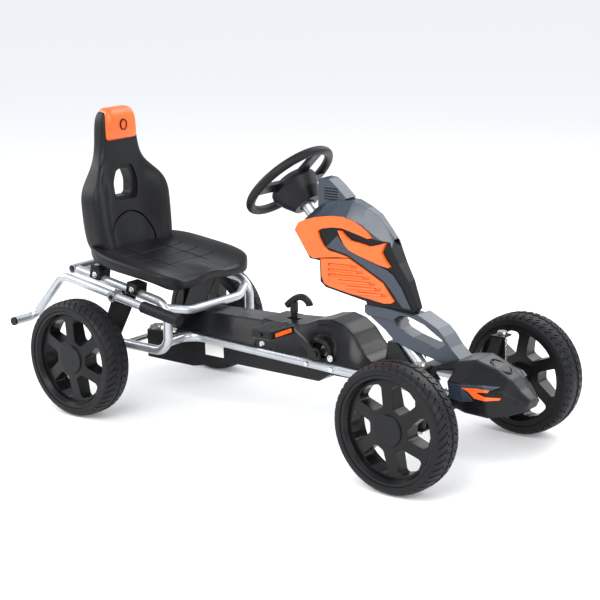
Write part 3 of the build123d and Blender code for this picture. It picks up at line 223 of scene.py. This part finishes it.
def make_finishes(colours):
    black, orange = tuple(colours.black), tuple(colours.orange)
    slate, silver = tuple(colours.slate), tuple(colours.silver)
    dull = 0.24
    steel = (0.6, 0.6, 0.58)
    return {
        "tyre": finish("tyre rubber", (0.0045, 0.0047, 0.0055), 0.5, grain=1400, relief=0.2,
                       soften=0.0008, shine=dull),
        "rim": finish("rim plastic", (0.0035, 0.0037, 0.0042), 0.3, grain=1600, relief=0.06,
                      soften=0.002, shine=dull),
        "black_paint": finish("black powder coat", black, 0.34, grain=2200, relief=0.1,
                              coat=0.05, shine=dull),
        "silver_paint": finish("silver powder coat", silver, 0.3, metallic=0.75, grain=2600,
                               relief=0.05, coat=0.3),
        "bright_steel": finish("zinc plated steel", steel, 0.28, metallic=1.0, grain=1800,
                               relief=0.05),
        "chain_steel": finish("oiled chain steel", (0.2, 0.19, 0.18), 0.38, metallic=1.0,
                              grain=1800, relief=0.08),
        "seat_plastic": finish("seat plastic", black, 0.42, grain=1300, relief=0.25,
                               soften=0.003, shine=dull),
        "black_plastic": finish("black plastic", black, 0.38, grain=1500, relief=0.14,
                                soften=0.002, shine=dull),
        "dome": finish("rounded black plastic", black, 0.3, grain=1500, relief=0.1,
                       soften=0.011, shine=0.26),
        "slate_plastic": finish("slate plastic", slate, 0.3, grain=1700, relief=0.05,
                                soften=0.0025, coat=0.15),
        "orange_plastic": finish("orange plastic", orange, 0.34, grain=1700, relief=0.04,
                                 soften=0.002, coat=0.15),
        "bush_plastic": finish("bearing plastic", (0.55, 0.54, 0.5), 0.5, grain=1500, relief=0.05),
        "label": finish("blank sticker", (0.72, 0.72, 0.7), 0.35, grain=600, relief=0.02,
                        soften=0.0),
        "grip_rubber": finish("soft grip", (0.005, 0.005, 0.006), 0.45, grain=1900, relief=0.35,
                              shine=dull),
    }


def paint(obj, material):
    """One finish on the whole piece."""
    obj.data.materials.clear()
    obj.data.materials.append(material)


# ---------------------------------------------------------------------------
# Modelling helpers
# ---------------------------------------------------------------------------

def begin(name, adder, **sizes):
    """Add a primitive with nothing else selected and open it in edit mode."""
    if bpy.context.object and bpy.context.object.mode == "EDIT":
        bpy.ops.object.mode_set(mode="OBJECT")
    bpy.ops.object.select_all(action="DESELECT")
    adder(location=(0.0, 0.0, 0.0), **sizes)
    obj = bpy.context.active_object
    obj.name = name
    obj.data.name = name
    bpy.ops.object.transform_apply(location=True, rotation=True, scale=True)
    bpy.ops.object.mode_set(mode="EDIT")
    bpy.ops.mesh.select_mode(type="VERT")
    bpy.ops.mesh.select_all(action="SELECT")
    return obj


def done(obj, angle=0.7):
    """Leave edit mode with clean normals and smooth shading."""
    bpy.ops.mesh.select_all(action="SELECT")
    bpy.ops.mesh.normals_make_consistent(inside=False)
    bpy.ops.object.mode_set(mode="OBJECT")
    bpy.ops.object.shade_smooth_by_angle(angle=angle)
    return obj


def pick(obj, test, kind="VERT"):
    """Select the vertices or faces whose place, and normal for faces, pass a test."""
    bpy.ops.mesh.select_mode(type=kind)
    bpy.ops.mesh.select_all(action="DESELECT")
    bpy.ops.object.mode_set(mode="OBJECT")
    if kind == "VERT":
        for vertex in obj.data.vertices:
            vertex.select = bool(test(vertex.co))
    else:
        for face in obj.data.polygons:
            face.select = bool(test(face.center, face.normal))
    bpy.ops.object.mode_set(mode="EDIT")


def move(x=0.0, y=0.0, z=0.0):
    bpy.ops.transform.translate(value=(x, y, z))


def scale(x, y, z, centre):
    bpy.ops.transform.resize(value=(x, y, z), center_override=centre)


def modify(obj, kind, **settings):
    """Add a modifier and apply it."""
    if obj.mode == "EDIT":
        bpy.ops.object.mode_set(mode="OBJECT")
    bpy.ops.object.select_all(action="DESELECT")
    obj.select_set(True)
    bpy.context.view_layer.objects.active = obj
    modifier = obj.modifiers.new(kind.lower(), kind)
    for key, value in settings.items():
        setattr(modifier, key, value)
    bpy.ops.object.modifier_apply(modifier=modifier.name)


def cut(obj, cutter):
    """Take a cutter's shape out of a piece, and drop the cutter."""
    modify(obj, "BOOLEAN", operation="DIFFERENCE", solver="EXACT", object=cutter)
    drop(cutter)


def drop(obj):
    bpy.ops.object.select_all(action="DESELECT")
    obj.select_set(True)
    bpy.context.view_layer.objects.active = obj
    bpy.ops.object.delete()


def copied(obj, name, place, turn=(0.0, 0.0, 0.0)):
    """A copy with its own mesh, set in place and left unturned at the origin."""
    bpy.ops.object.select_all(action="DESELECT")
    obj.select_set(True)
    bpy.context.view_layer.objects.active = obj
    bpy.ops.object.duplicate()
    twin = bpy.context.active_object
    twin.name = name
    twin.data.name = name
    twin.location = place
    twin.rotation_euler = turn
    bpy.ops.object.transform_apply(location=True, rotation=True, scale=True)
    return twin


def column(name, rings, cells=(2, 6)):
    """Upright body through rings (z, middle x, half x, half y), from a flat grid."""
    z, x, half_x, half_y = rings[0]
    obj = begin(name, bpy.ops.mesh.primitive_grid_add, x_subdivisions=cells[0],
                y_subdivisions=cells[1], size=2.0)
    scale(half_x, half_y, 1.0, (0.0, 0.0, 0.0))
    move(x=x, z=z)
    for last, ring in zip(rings, rings[1:]):
        bpy.ops.mesh.extrude_region_move(
            TRANSFORM_OT_translate={"value": (ring[1] - last[1], 0.0, ring[0] - last[0])}
        )
        scale(ring[2] / last[2], ring[3] / last[3], 1.0, (ring[1], 0.0, ring[0]))
    return obj


def beam(name, rings, cells=(2, 6)):
    """Lying body through rings (x, middle z, half z, half y), from a flat grid."""
    x, z, half_z, half_y = rings[0]
    obj = begin(name, bpy.ops.mesh.primitive_grid_add, x_subdivisions=cells[0],
                y_subdivisions=cells[1], size=2.0, rotation=(0.0, math.pi / 2, 0.0))
    scale(1.0, half_y, half_z, (0.0, 0.0, 0.0))
    move(x=x, z=z)
    for last, ring in zip(rings, rings[1:]):
        bpy.ops.mesh.extrude_region_move(
            TRANSFORM_OT_translate={"value": (ring[0] - last[0], 0.0, ring[1] - last[1])}
        )
        scale(1.0, ring[3] / last[3], ring[2] / last[2], (ring[0], 0.0, ring[1]))
    return obj


def slab(name, outline, low, high, round_off=0.0):
    """Prism with an outline of (y, z) corners between two X values."""
    obj = begin(name, bpy.ops.mesh.primitive_circle_add, vertices=len(outline), radius=1.0,
                fill_type="NGON")
    bpy.ops.object.mode_set(mode="OBJECT")
    corners = [vertex.co.copy() for vertex in obj.data.vertices]
    bpy.ops.object.mode_set(mode="EDIT")
    for corner, (y, z) in zip(corners, outline):
        pick(obj, lambda v: (v - corner).length < CORNER_REACH)
        move(x=FAR - corner.x, y=y - corner.y, z=z - corner.z)
    bpy.ops.mesh.select_all(action="SELECT")
    move(x=low - FAR)
    scale(0.0, 1.0, 1.0, (low, 0.0, 0.0))
    if round_off:
        bpy.ops.mesh.bevel(offset=round_off, segments=5, affect="VERTICES")
        bpy.ops.mesh.select_all(action="SELECT")
    bpy.ops.mesh.extrude_region_move(TRANSFORM_OT_translate={"value": (high - low, 0.0, 0.0)})
    return done(obj)


def lathe(name, segments, rings):
    """Body of revolution about Z through rings (radius, z), from a bare circle."""
    radius, z = rings[0]
    obj = begin(name, bpy.ops.mesh.primitive_circle_add, vertices=segments, radius=radius)
    move(z=z)
    for last, ring in zip(rings, rings[1:]):
        bpy.ops.mesh.extrude_region_move(
            TRANSFORM_OT_translate={"value": (0.0, 0.0, ring[1] - last[1])}
        )
        scale(ring[0] / last[0], ring[0] / last[0], 1.0, (0.0, 0.0, ring[1]))
    return obj


def touch(node, start, way):
    """Where a straight line first meets a part of the frame, or nothing."""
    obj = FRAME["nodes"][node]
    bpy.context.view_layer.update()
    back = obj.matrix_world.inverted()
    hit, place, normal, index = obj.ray_cast(back @ Vector(start), back.to_3x3() @ Vector(way))
    return obj.matrix_world @ place if hit else None


def settle(obj, material, body, stands_for=()):
    """Finish a piece: its material, the body it moves with and the parts it stands for."""
    paint(obj, FRAME["finish"][material])
    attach(obj, body)
    if stands_for:
        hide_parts(*stands_for)


# ---------------------------------------------------------------------------
# Operators
# ---------------------------------------------------------------------------

class KART_OT_finishes(bpy.types.Operator):
    """Give every part of the frame its finish"""

    bl_idname = "kart.finishes"
    bl_label = "Finishes"

    def execute(self, context):
        FRAME["finish"] = make_finishes(context.scene.kart_colours)
        slots = {s["node"]: s["material_slot"] for s in FRAME["record"]["subparts"]}
        for name, obj in FRAME["nodes"].items():
            rounded = name in ("nose_cover", "chain_cover_front", "chain_cover_rear")
            paint(obj, FRAME["finish"]["dome" if rounded else slots[name]])
        return {"FINISHED"}


class KART_OT_seat(bpy.types.Operator):
    """Model the bucket seat, its headrest pad and badge"""

    bl_idname = "kart.seat"
    bl_label = "Seat"

    def execute(self, context):
        settings = context.scene.kart_seat
        wide = settings.half_width
        low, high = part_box("rear_axle_shaft")
        rear = (low.x + high.x) / 2 - 0.1025
        back_x = rear + 0.005
        back = column("seat_back", [
            (0.366, back_x + 0.028, 0.024, 0.108), (0.392, back_x + 0.024, 0.025, 0.128),
            (0.430, back_x + 0.016, 0.022, 0.138), (0.500, back_x + 0.010, 0.020, 0.142),
            (0.545, back_x + 0.006, 0.020, 0.140), (0.580, back_x + 0.003, 0.020, 0.112),
            (0.612, back_x + 0.000, 0.020, 0.080), (0.655, back_x - 0.002, 0.020, 0.066),
            (0.700, back_x - 0.004, 0.021, 0.062), (0.735, back_x - 0.005, 0.020, 0.056),
            (0.750, back_x - 0.005, 0.014, 0.044),
        ], cells=(2, 8))
        pick(back, lambda v: abs(v.y) > 0.094 and v.z < 0.6 and v.x > back_x)
        move(x=0.030)
        pick(back, lambda v: abs(v.y) < 0.06 and 0.37 < v.z < 0.49 and v.x > back_x + 0.01)
        move(x=0.008)
        modify(back, "SUBSURF", levels=3, render_levels=3)
        pan = beam("seat_pan", [
            (rear - 0.002, 0.392, 0.012, 0.100), (rear + 0.030, 0.382, 0.018, 0.140),
            (rear + 0.090, 0.371, 0.020, wide - 0.010), (rear + 0.160, 0.362, 0.018, wide - 0.004),
            (rear + 0.230, 0.355, 0.017, wide - 0.004), (rear + 0.285, 0.347, 0.016, wide - 0.008),
            (rear + 0.320, 0.341, 0.015, wide - 0.028), (rear + 0.334, 0.338, 0.011, wide - 0.052),
        ], cells=(2, 10))
        pick(pan, lambda v: abs(v.y) > 0.68 * wide and v.x > rear + 0.02 and v.z > 0.33)
        move(z=0.016)
        pick(pan, lambda v: abs(v.y) < 0.03 and v.x > rear + 0.28)
        move(z=0.010)
        modify(pan, "SUBSURF", levels=3, render_levels=3)
        hole = slab("hole", [
            (-0.028, 0.522), (0.028, 0.522), (0.034, 0.560), (0.022, 0.594), (-0.022, 0.594),
            (-0.034, 0.560),
        ], back_x - 0.1, back_x + 0.2, 0.010)
        cut(back, hole)
        recess = slab("recess", [
            (-0.042, 0.512), (0.042, 0.512), (0.048, 0.560), (0.032, 0.604), (-0.032, 0.604),
            (-0.048, 0.560),
        ], back_x + 0.017, back_x + 0.2, 0.012)
        cut(back, recess)
        arch = lathe("arch", 64, [(0.074, 0.0), (0.074, 0.05), (0.078, 0.05), (0.078, 0.0), (0.074, 0.0)])
        bpy.ops.mesh.select_all(action="SELECT")
        bpy.ops.mesh.remove_doubles(threshold=0.00001)
        bpy.ops.transform.rotate(value=-math.pi / 2, orient_axis="Y", center_override=(0.0, 0.0, 0.0))
        move(x=back_x + 0.024, z=0.405)
        done(arch)
        cut(back, arch)
        half = settings.groove / 2
        for x in (rear + 0.125, rear + 0.180, rear + 0.235):
            groove = beam("groove", [(x - half, 0.388, 0.022, 0.112), (x + half, 0.388, 0.022, 0.112)])
            done(groove)
            cut(pan, groove)
        for y in (-0.058, 0.058):
            groove = slab("groove", [
                (y - half, 0.366), (y + half, 0.366), (y + half, 0.42), (y - half, 0.42),
            ], rear + 0.075, rear + 0.285)
            cut(pan, groove)
        settle(back, "seat_plastic", "seat", ("seat_shell",))
        settle(pan, "seat_plastic", "seat", ("seat_shell",))
        pad = column("headrest_cushion", [
            (0.672, back_x + 0.008, 0.018, 0.054), (0.690, back_x + 0.007, 0.021, 0.055),
            (0.730, back_x + 0.004, 0.024, 0.052), (0.748, back_x + 0.001, 0.023, 0.046),
            (0.757, back_x - 0.001, 0.014, 0.036),
        ], cells=(2, 6))
        modify(pad, "SUBSURF", levels=3, render_levels=3)
        settle(pad, "orange_plastic", "seat", ("headrest_pad",))
        badge = lathe("headrest_badge", 40, [
            (0.0100, -0.004), (0.0118, -0.004), (0.0122, 0.0010), (0.0114, 0.0018), (0.0095, 0.0018),
            (0.0088, 0.0010), (0.0020, 0.0014),
        ])
        bpy.ops.mesh.select_all(action="SELECT")
        bpy.ops.mesh.remove_doubles(threshold=0.00001)
        bpy.ops.transform.rotate(value=math.pi / 2, orient_axis="Y", center_override=(0.0, 0.0, 0.0))
        scale(1.0, 1.0, 1.25, (0.0, 0.0, 0.0))
        move(x=back_x + 0.0275, z=0.712)
        done(badge)
        settle(badge, "black_plastic", "seat", ("headrest_disc",))
        for piece in (back, pan, pad):
            bpy.ops.object.select_all(action="DESELECT")
            piece.select_set(True)
            bpy.context.view_layer.objects.active = piece
            bpy.ops.object.mode_set(mode="EDIT")
            done(piece)
        return {"FINISHED"}


class KART_OT_tyres(bpy.types.Operator):
    """Model one treaded tyre and copy it to the four wheels"""

    bl_idname = "kart.tyres"
    bl_label = "Tyres"

    def execute(self, context):
        settings = context.scene.kart_tyres
        low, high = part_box("tyre_front_left")
        outer = (high.z - low.z) / 2
        half = (high.y - low.y) / 2
        segments = settings.blocks * 4
        rings = [
            (outer - 0.0235, 0.0325), (outer - 0.0225, half - 0.0005), (outer - 0.018, half),
            (outer - 0.012, half - 0.0002), (outer - 0.0085, half - 0.0015),
            (outer - 0.0050, half - 0.0050), (outer - 0.0024, half - 0.0105),
            (outer - 0.0010, half - 0.0170), (outer - 0.0003, half - 0.0240),
            (outer, half - 0.0310),
        ]
        profile = rings + [(r, -z) for r, z in reversed(rings)]
        tyre = lathe("tyre", segments, profile)
        step = 2 * math.pi / segments
        for index, (radius, z) in enumerate(profile):
            if 4 <= index < len(profile) - 4:
                pick(tyre, lambda v: abs(v.z - z) < 0.00005)
                lag = abs(index - (len(profile) - 1) / 2)
                bpy.ops.transform.rotate(
                    value=step * 0.8 * lag, orient_axis="Z", center_override=(0.0, 0.0, 0.0)
                )

        def tread(centre, normal):
            flat = math.hypot(centre.x, centre.y)
            if flat < outer - 0.0105 or abs(centre.z) < 0.0035:
                return False
            band = abs(centre.z) > half - 0.0205
            lag = 0.0
            for index, (radius, z) in enumerate(profile):
                if index + 1 < len(profile):
                    other = profile[index + 1][1]
                    if min(z, other) <= centre.z <= max(z, other):
                        first = abs(index - (len(profile) - 1) / 2)
                        second = abs(index + 1 - (len(profile) - 1) / 2)
                        lag = (first + second) / 2
            angle = math.atan2(centre.y, centre.x) / step
            shift = 2 if band else 0
            return (angle + 0.8 * lag + shift) % 4 < 3.0

        pick(tyre, tread, "FACE")
        bpy.ops.mesh.inset(thickness=0.0004, depth=0.0)
        pick(tyre, lambda c, n: not tread(c, n) and math.hypot(c.x, c.y) > outer - 0.0105, "FACE")
        bpy.ops.mesh.inset(thickness=0.0003, depth=-settings.depth)
        done(tyre, 0.6)
        for end in ("front", "rear"):
            for word, side in (("left", 1), ("right", -1)):
                node = f"tyre_{end}_{word}"
                low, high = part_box(node)
                twin = copied(tyre, f"tread_{end}_{word}", (low + high) / 2, (-math.pi / 2 * side, 0.0, 0.0))
                body = FRAME["nodes"][node]["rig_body"]
                settle(twin, "tyre", body, (node,))
        drop(tyre)
        return {"FINISHED"}


class KART_OT_bolts(bpy.types.Operator):
    """Model one washered bolt and copy it to every bolted joint"""

    bl_idname = "kart.bolts"
    bl_label = "Bolts"

    def execute(self, context):
        bolt = begin("bolt", bpy.ops.mesh.primitive_cylinder_add, vertices=30, radius=0.0082, depth=0.003)
        pick(bolt, lambda c, n: n.z > 0.9, "FACE")
        bpy.ops.mesh.inset(thickness=0.0026)
        bpy.ops.mesh.extrude_region_move(TRANSFORM_OT_translate={"value": (0.0, 0.0, 0.0036)})
        scale(0.82, 0.82, 1.0, (0.0, 0.0, 0.0051))
        bpy.ops.mesh.inset(thickness=0.0018)
        bpy.ops.mesh.extrude_region_move(TRANSFORM_OT_translate={"value": (0.0, 0.0, -0.0020)})
        done(bolt, 0.5)
        modify(bolt, "BEVEL", width=0.0004, segments=2, limit_method="ANGLE")
        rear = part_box("rear_axle_brackets")
        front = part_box("column_bracket")
        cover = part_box("chain_cover_front")
        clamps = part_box("seat_clamps")
        axle = (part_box("rear_axle_shaft")[0].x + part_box("rear_axle_shaft")[1].x) / 2
        spots = [("seat_clamps", x, z) for x in (clamps[0].x + 0.018, clamps[1].x - 0.018)
                 for z in (clamps[0].z + 0.012, clamps[1].z - 0.030)]
        spots += [("rear_axle_brackets", axle + dx, z) for dx in (-0.022, 0.022)
                  for z in (rear[0].z + 0.016, rear[1].z - 0.022)]
        spots += [("column_bracket", (front[0].x + front[1].x) / 2 + dx, front[1].z - 0.062)
                  for dx in (-0.012, 0.012)]
        spots += [("chain_cover_front", x, 0.214) for x in (cover[0].x + 0.02, cover[1].x - 0.10)]
        spots += [("main_frame", x, 0.0) for x in (-0.16, 0.36)]
        count = 0
        for node, x, z in spots:
            for side in (-1, 1):
                if node == "main_frame":
                    place = touch(node, (x, side * 0.072, 0.4), (0.0, 0.0, -1.0))
                    turn = (0.0, 0.0, 0.0)
                    lift = Vector((0.0, 0.0, -SUNK))
                else:
                    place = touch(node, (x, side * 0.6, z), (0.0, -side, 0.0))
                    turn = (-side * math.pi / 2, 0.0, 0.0)
                    lift = Vector((0.0, -side * SUNK, 0.0))
                if place is None or place.y * side < 0.0:
                    continue
                count += 1
                twin = copied(bolt, f"bolt_{count}", place + lift, turn)
                settle(twin, "bright_steel", FRAME["nodes"][node]["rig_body"])
        drop(bolt)
        return {"FINISHED"}


class KART_OT_pedals(bpy.types.Operator):
    """Add the reflectors in the pedals' front and back edges"""

    bl_idname = "kart.pedals"
    bl_label = "Pedal reflectors"

    def execute(self, context):
        for word in ("left", "right"):
            node = f"pedal_{word}"
            low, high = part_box(node)
            middle = (low + high) / 2
            for end, x in (("front", high.x), ("back", low.x)):
                outline = [
                    (middle.y - 0.030, middle.z - 0.0050), (middle.y + 0.030, middle.z - 0.0050),
                    (middle.y + 0.030, middle.z + 0.0050), (middle.y - 0.030, middle.z + 0.0050),
                ]
                strip = slab(f"reflector_{word}_{end}", outline, x - 0.001, x + 0.0016, 0.0022)
                modify(strip, "BEVEL", width=0.0006, segments=2, limit_method="ANGLE")
                settle(strip, "orange_plastic", FRAME["nodes"][node]["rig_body"])
        return {"FINISHED"}


class KART_OT_covers(bpy.types.Operator):
    """Add the raised rings on the chain cover's flanks and the vent in the nose"""

    bl_idname = "kart.covers"
    bl_label = "Cover details"

    def execute(self, context):
        low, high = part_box("front_sprocket")
        crank = (low + high) / 2
        for word, side in (("left", 1), ("right", -1)):
            for number, radius in enumerate((0.044, 0.062)):
                face = touch("chain_cover_front", (crank.x, side * 0.6, crank.z + radius), (0.0, -side, 0.0))
                if face is None:
                    continue
                ring = lathe(f"cover_ring_{word}_{number + 1}", 72, [
                    (radius + 0.0032, -0.0015), (radius + 0.0024, 0.0016), (radius - 0.0024, 0.0016),
                    (radius - 0.0032, -0.0015),
                ])
                bpy.ops.mesh.select_all(action="SELECT")
                bpy.ops.transform.rotate(
                    value=side * math.pi / 2, orient_axis="X", center_override=(0.0, 0.0, 0.0)
                )
                move(x=crank.x, y=face.y, z=crank.z)
                pick(ring, lambda v: v.z < crank.z + 0.012)
                bpy.ops.mesh.delete(type="VERT")
                done(ring)
                settle(ring, "black_plastic", "chassis")
        nose_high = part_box("nose_cover")[1]
        near = touch("nose_cover", (nose_high.x - 0.110, 0.0, 0.6), (0.0, 0.0, -1.0))
        far = touch("nose_cover", (nose_high.x - 0.060, 0.0, 0.6), (0.0, 0.0, -1.0))
        slope = math.atan2(near.z - far.z, far.x - near.x)
        vent = begin("nose_vent", bpy.ops.mesh.primitive_cylinder_add, vertices=48, radius=1.0, depth=0.006)
        scale(0.030, 0.020, 1.0, (0.0, 0.0, 0.0))
        pick(vent, lambda c, n: n.z > 0.9, "FACE")
        bpy.ops.mesh.inset(thickness=0.003)
        bpy.ops.mesh.extrude_region_move(TRANSFORM_OT_translate={"value": (0.0, 0.0, -0.003)})
        bpy.ops.mesh.inset(thickness=0.003)
        bpy.ops.mesh.extrude_region_move(TRANSFORM_OT_translate={"value": (0.0, 0.0, 0.0016)})
        bpy.ops.mesh.select_all(action="SELECT")
        bpy.ops.transform.rotate(value=-slope, orient_axis="Y", center_override=(0.0, 0.0, 0.0))
        move(x=(near.x + far.x) / 2, z=(near.z + far.z) / 2)
        done(vent, 0.5)
        modify(vent, "BEVEL", width=0.0005, segments=2, limit_method="ANGLE")
        settle(vent, "black_plastic", "chassis")
        return {"FINISHED"}


class KART_OT_cowl(bpy.types.Operator):
    """Add the grille on the cowl's top pod and the ribs of its side panels"""

    bl_idname = "kart.cowl"
    bl_label = "Cowl details"

    def execute(self, context):
        low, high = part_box("horn_pod")
        for word, side in (("left", 1), ("right", -1)):
            for number in range(6):
                z = high.z - 0.024 - number * 0.0065
                x = low.x + 0.040
                face = touch("horn_pod", (x, side * 0.3, z), (0.0, -side, 0.0))
                if face is None:
                    continue
                bar = begin(f"grille_bar_{word}_{number + 1}", bpy.ops.mesh.primitive_cube_add, size=1.0)
                scale(0.040, 0.0026, 0.0026, (0.0, 0.0, 0.0))
                pick(bar, lambda c, n: n.x > 0.9, "FACE")
                bpy.ops.mesh.inset(thickness=0.0004, depth=0.0008)
                move(z=-0.001)
                bpy.ops.mesh.select_all(action="SELECT")
                move(x=face.x, y=face.y, z=face.z)
                done(bar)
                modify(bar, "BEVEL", width=0.0007, segments=2, limit_method="ANGLE")
                settle(bar, "black_plastic", "chassis")
            panel_low, panel_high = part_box("cowl_lower_panels")
            lean = 0.0022
            half_pitch = 0.0065
            for number in range(7):
                z = panel_high.z - 0.0125 - number * 0.0125
                start = panel_low.x + 0.022 + max(0, number - 2) * 0.023
                finish_x = panel_low.x + 0.078 + number * 0.0155
                first = touch("cowl_lower_panels", (start, side * 0.3, z - half_pitch), (0.0, -side, 0.0))
                last = touch("cowl_lower_panels", (finish_x, side * 0.3, z - half_pitch), (0.0, -side, 0.0))
                if first is None or last is None or first.y * side < 0 or last.y * side < 0:
                    continue
                slat = begin(f"louvre_{word}_{number + 1}", bpy.ops.mesh.primitive_cube_add, size=1.0)
                scale(finish_x - start, 0.0040, 0.0052, (0.0, 0.0, 0.0))
                pick(slat, lambda v: v.z < 0 and v.y * side > 0)
                move(y=side * lean)
                pick(slat, lambda v: v.x > 0)
                move(y=last.y)
                pick(slat, lambda v: v.x < 0)
                move(y=first.y)
                bpy.ops.mesh.select_all(action="SELECT")
                move(x=(start + finish_x) / 2, z=z - half_pitch)
                done(slat, 0.5)
                modify(slat, "BEVEL", width=0.0008, segments=2, limit_method="ANGLE")
                settle(slat, "orange_plastic", "chassis")
        return {"FINISHED"}


class KART_OT_studio(bpy.types.Operator):
    """Set the floor, soft lights and camera"""

    bl_idname = "kart.studio"
    bl_label = "Studio"

    def execute(self, context):
        settings = context.scene.kart_studio
        bpy.ops.object.select_all(action="DESELECT")
        bpy.ops.mesh.primitive_plane_add(size=40.0, location=(0.0, 0.0, 0.0))
        floor = context.active_object
        floor.name = "floor"
        material, tree, shader = new_material("studio floor")
        shader.inputs["Base Color"].default_value = (0.88, 0.88, 0.88, 1.0)
        shader.inputs["Roughness"].default_value = 0.7
        shader.inputs["Emission Color"].default_value = (1.0, 1.0, 1.0, 1.0)
        shader.inputs["Emission Strength"].default_value = 0.12
        grain = noise(tree, 60.0, 3.0, tree.nodes.new("ShaderNodeTexCoord").outputs["Object"])
        bump = tree.nodes.new("ShaderNodeBump")
        bump.inputs["Strength"].default_value = 0.02
        tree.links.new(grain, bump.inputs["Height"])
        tree.links.new(bump.outputs["Normal"], shader.inputs["Normal"])
        paint(floor, material)
        world = bpy.data.worlds.new("soft studio")
        world.use_nodes = True
        background = world.node_tree.nodes["Background"]
        background.inputs["Color"].default_value = (0.93, 0.96, 1.0, 1.0)
        background.inputs["Strength"].default_value = 0.9
        context.scene.world = world
        lights = (
            ("key", (0.8, -2.6, 2.6), 2.2, settings.key_power),
            ("fill", (-2.8, -1.2, 1.9), 1.8, settings.key_power * 0.5),
            ("rim", (0.6, 2.8, 2.4), 2.6, settings.key_power * 0.7),
            ("front", (3.2, -0.2, 1.7), 1.6, settings.key_power * 0.45),
        )
        for name, place, size, power in lights:
            bpy.ops.object.light_add(type="AREA", location=place)
            light = context.active_object
            light.name = name
            light.data.size = size
            light.data.energy = power
            direction = Vector((0.0, 0.0, 0.3)) - Vector(place)
            light.rotation_euler = direction.to_track_quat("-Z", "Y").to_euler()
        bpy.ops.object.camera_add()
        camera = context.active_object
        camera.name = "camera"
        camera.data.lens = settings.lens
        camera.data.sensor_width = 36.0
        camera.data.clip_end = 100.0
        turn = Matrix.Rotation(settings.azimuth, 4, "Z")
        turn = turn @ Matrix.Rotation(math.pi / 2 - settings.elevation, 4, "X")
        turn = turn @ Matrix.Rotation(settings.roll, 4, "Z")
        camera.matrix_world = Matrix.Translation(settings.place) @ turn
        context.scene.camera = camera
        context.scene.view_settings.view_transform = "Standard"
        return {"FINISHED"}


class KART_PT_panel(bpy.types.Panel):
    """Buttons and settings of the kart"""

    bl_idname = "KART_PT_panel"
    bl_label = "Pedal go kart"
    bl_space_type = "VIEW_3D"
    bl_region_type = "UI"
    bl_category = "Kart"

    def draw(self, context):
        layout = self.layout
        for group in ("kart_colours", "kart_seat", "kart_tyres", "kart_studio"):
            settings = getattr(context.scene, group)
            for key in settings.__annotations__:
                layout.prop(settings, key)
        for operator in OPERATORS:
            layout.operator(operator.bl_idname)


GROUPS = (
    ("kart_colours", KartColours),
    ("kart_seat", KartSeat),
    ("kart_tyres", KartTyres),
    ("kart_studio", KartStudio),
)
OPERATORS = (
    KART_OT_finishes,
    KART_OT_seat,
    KART_OT_tyres,
    KART_OT_bolts,
    KART_OT_pedals,
    KART_OT_covers,
    KART_OT_cowl,
    KART_OT_studio,
)


def register():
    for name, group in GROUPS:
        bpy.utils.register_class(group)
        setattr(bpy.types.Scene, name, PointerProperty(type=group))
    for operator in OPERATORS:
        bpy.utils.register_class(operator)
    bpy.utils.register_class(KART_PT_panel)


def unregister():
    bpy.utils.unregister_class(KART_PT_panel)
    for operator in reversed(OPERATORS):
        bpy.utils.unregister_class(operator)
    for name, group in reversed(GROUPS):
        delattr(bpy.types.Scene, name)
        bpy.utils.unregister_class(group)


def main():
    bpy.ops.object.select_all(action="SELECT")
    bpy.ops.object.delete()
    FRAME.update(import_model())
    register()
    bpy.ops.kart.finishes()
    bpy.ops.kart.seat()
    bpy.ops.kart.tyres()
    bpy.ops.kart.bolts()
    bpy.ops.kart.pedals()
    bpy.ops.kart.covers()
    bpy.ops.kart.cowl()
    bpy.ops.kart.studio()


if __name__ == "__main__":
    main()
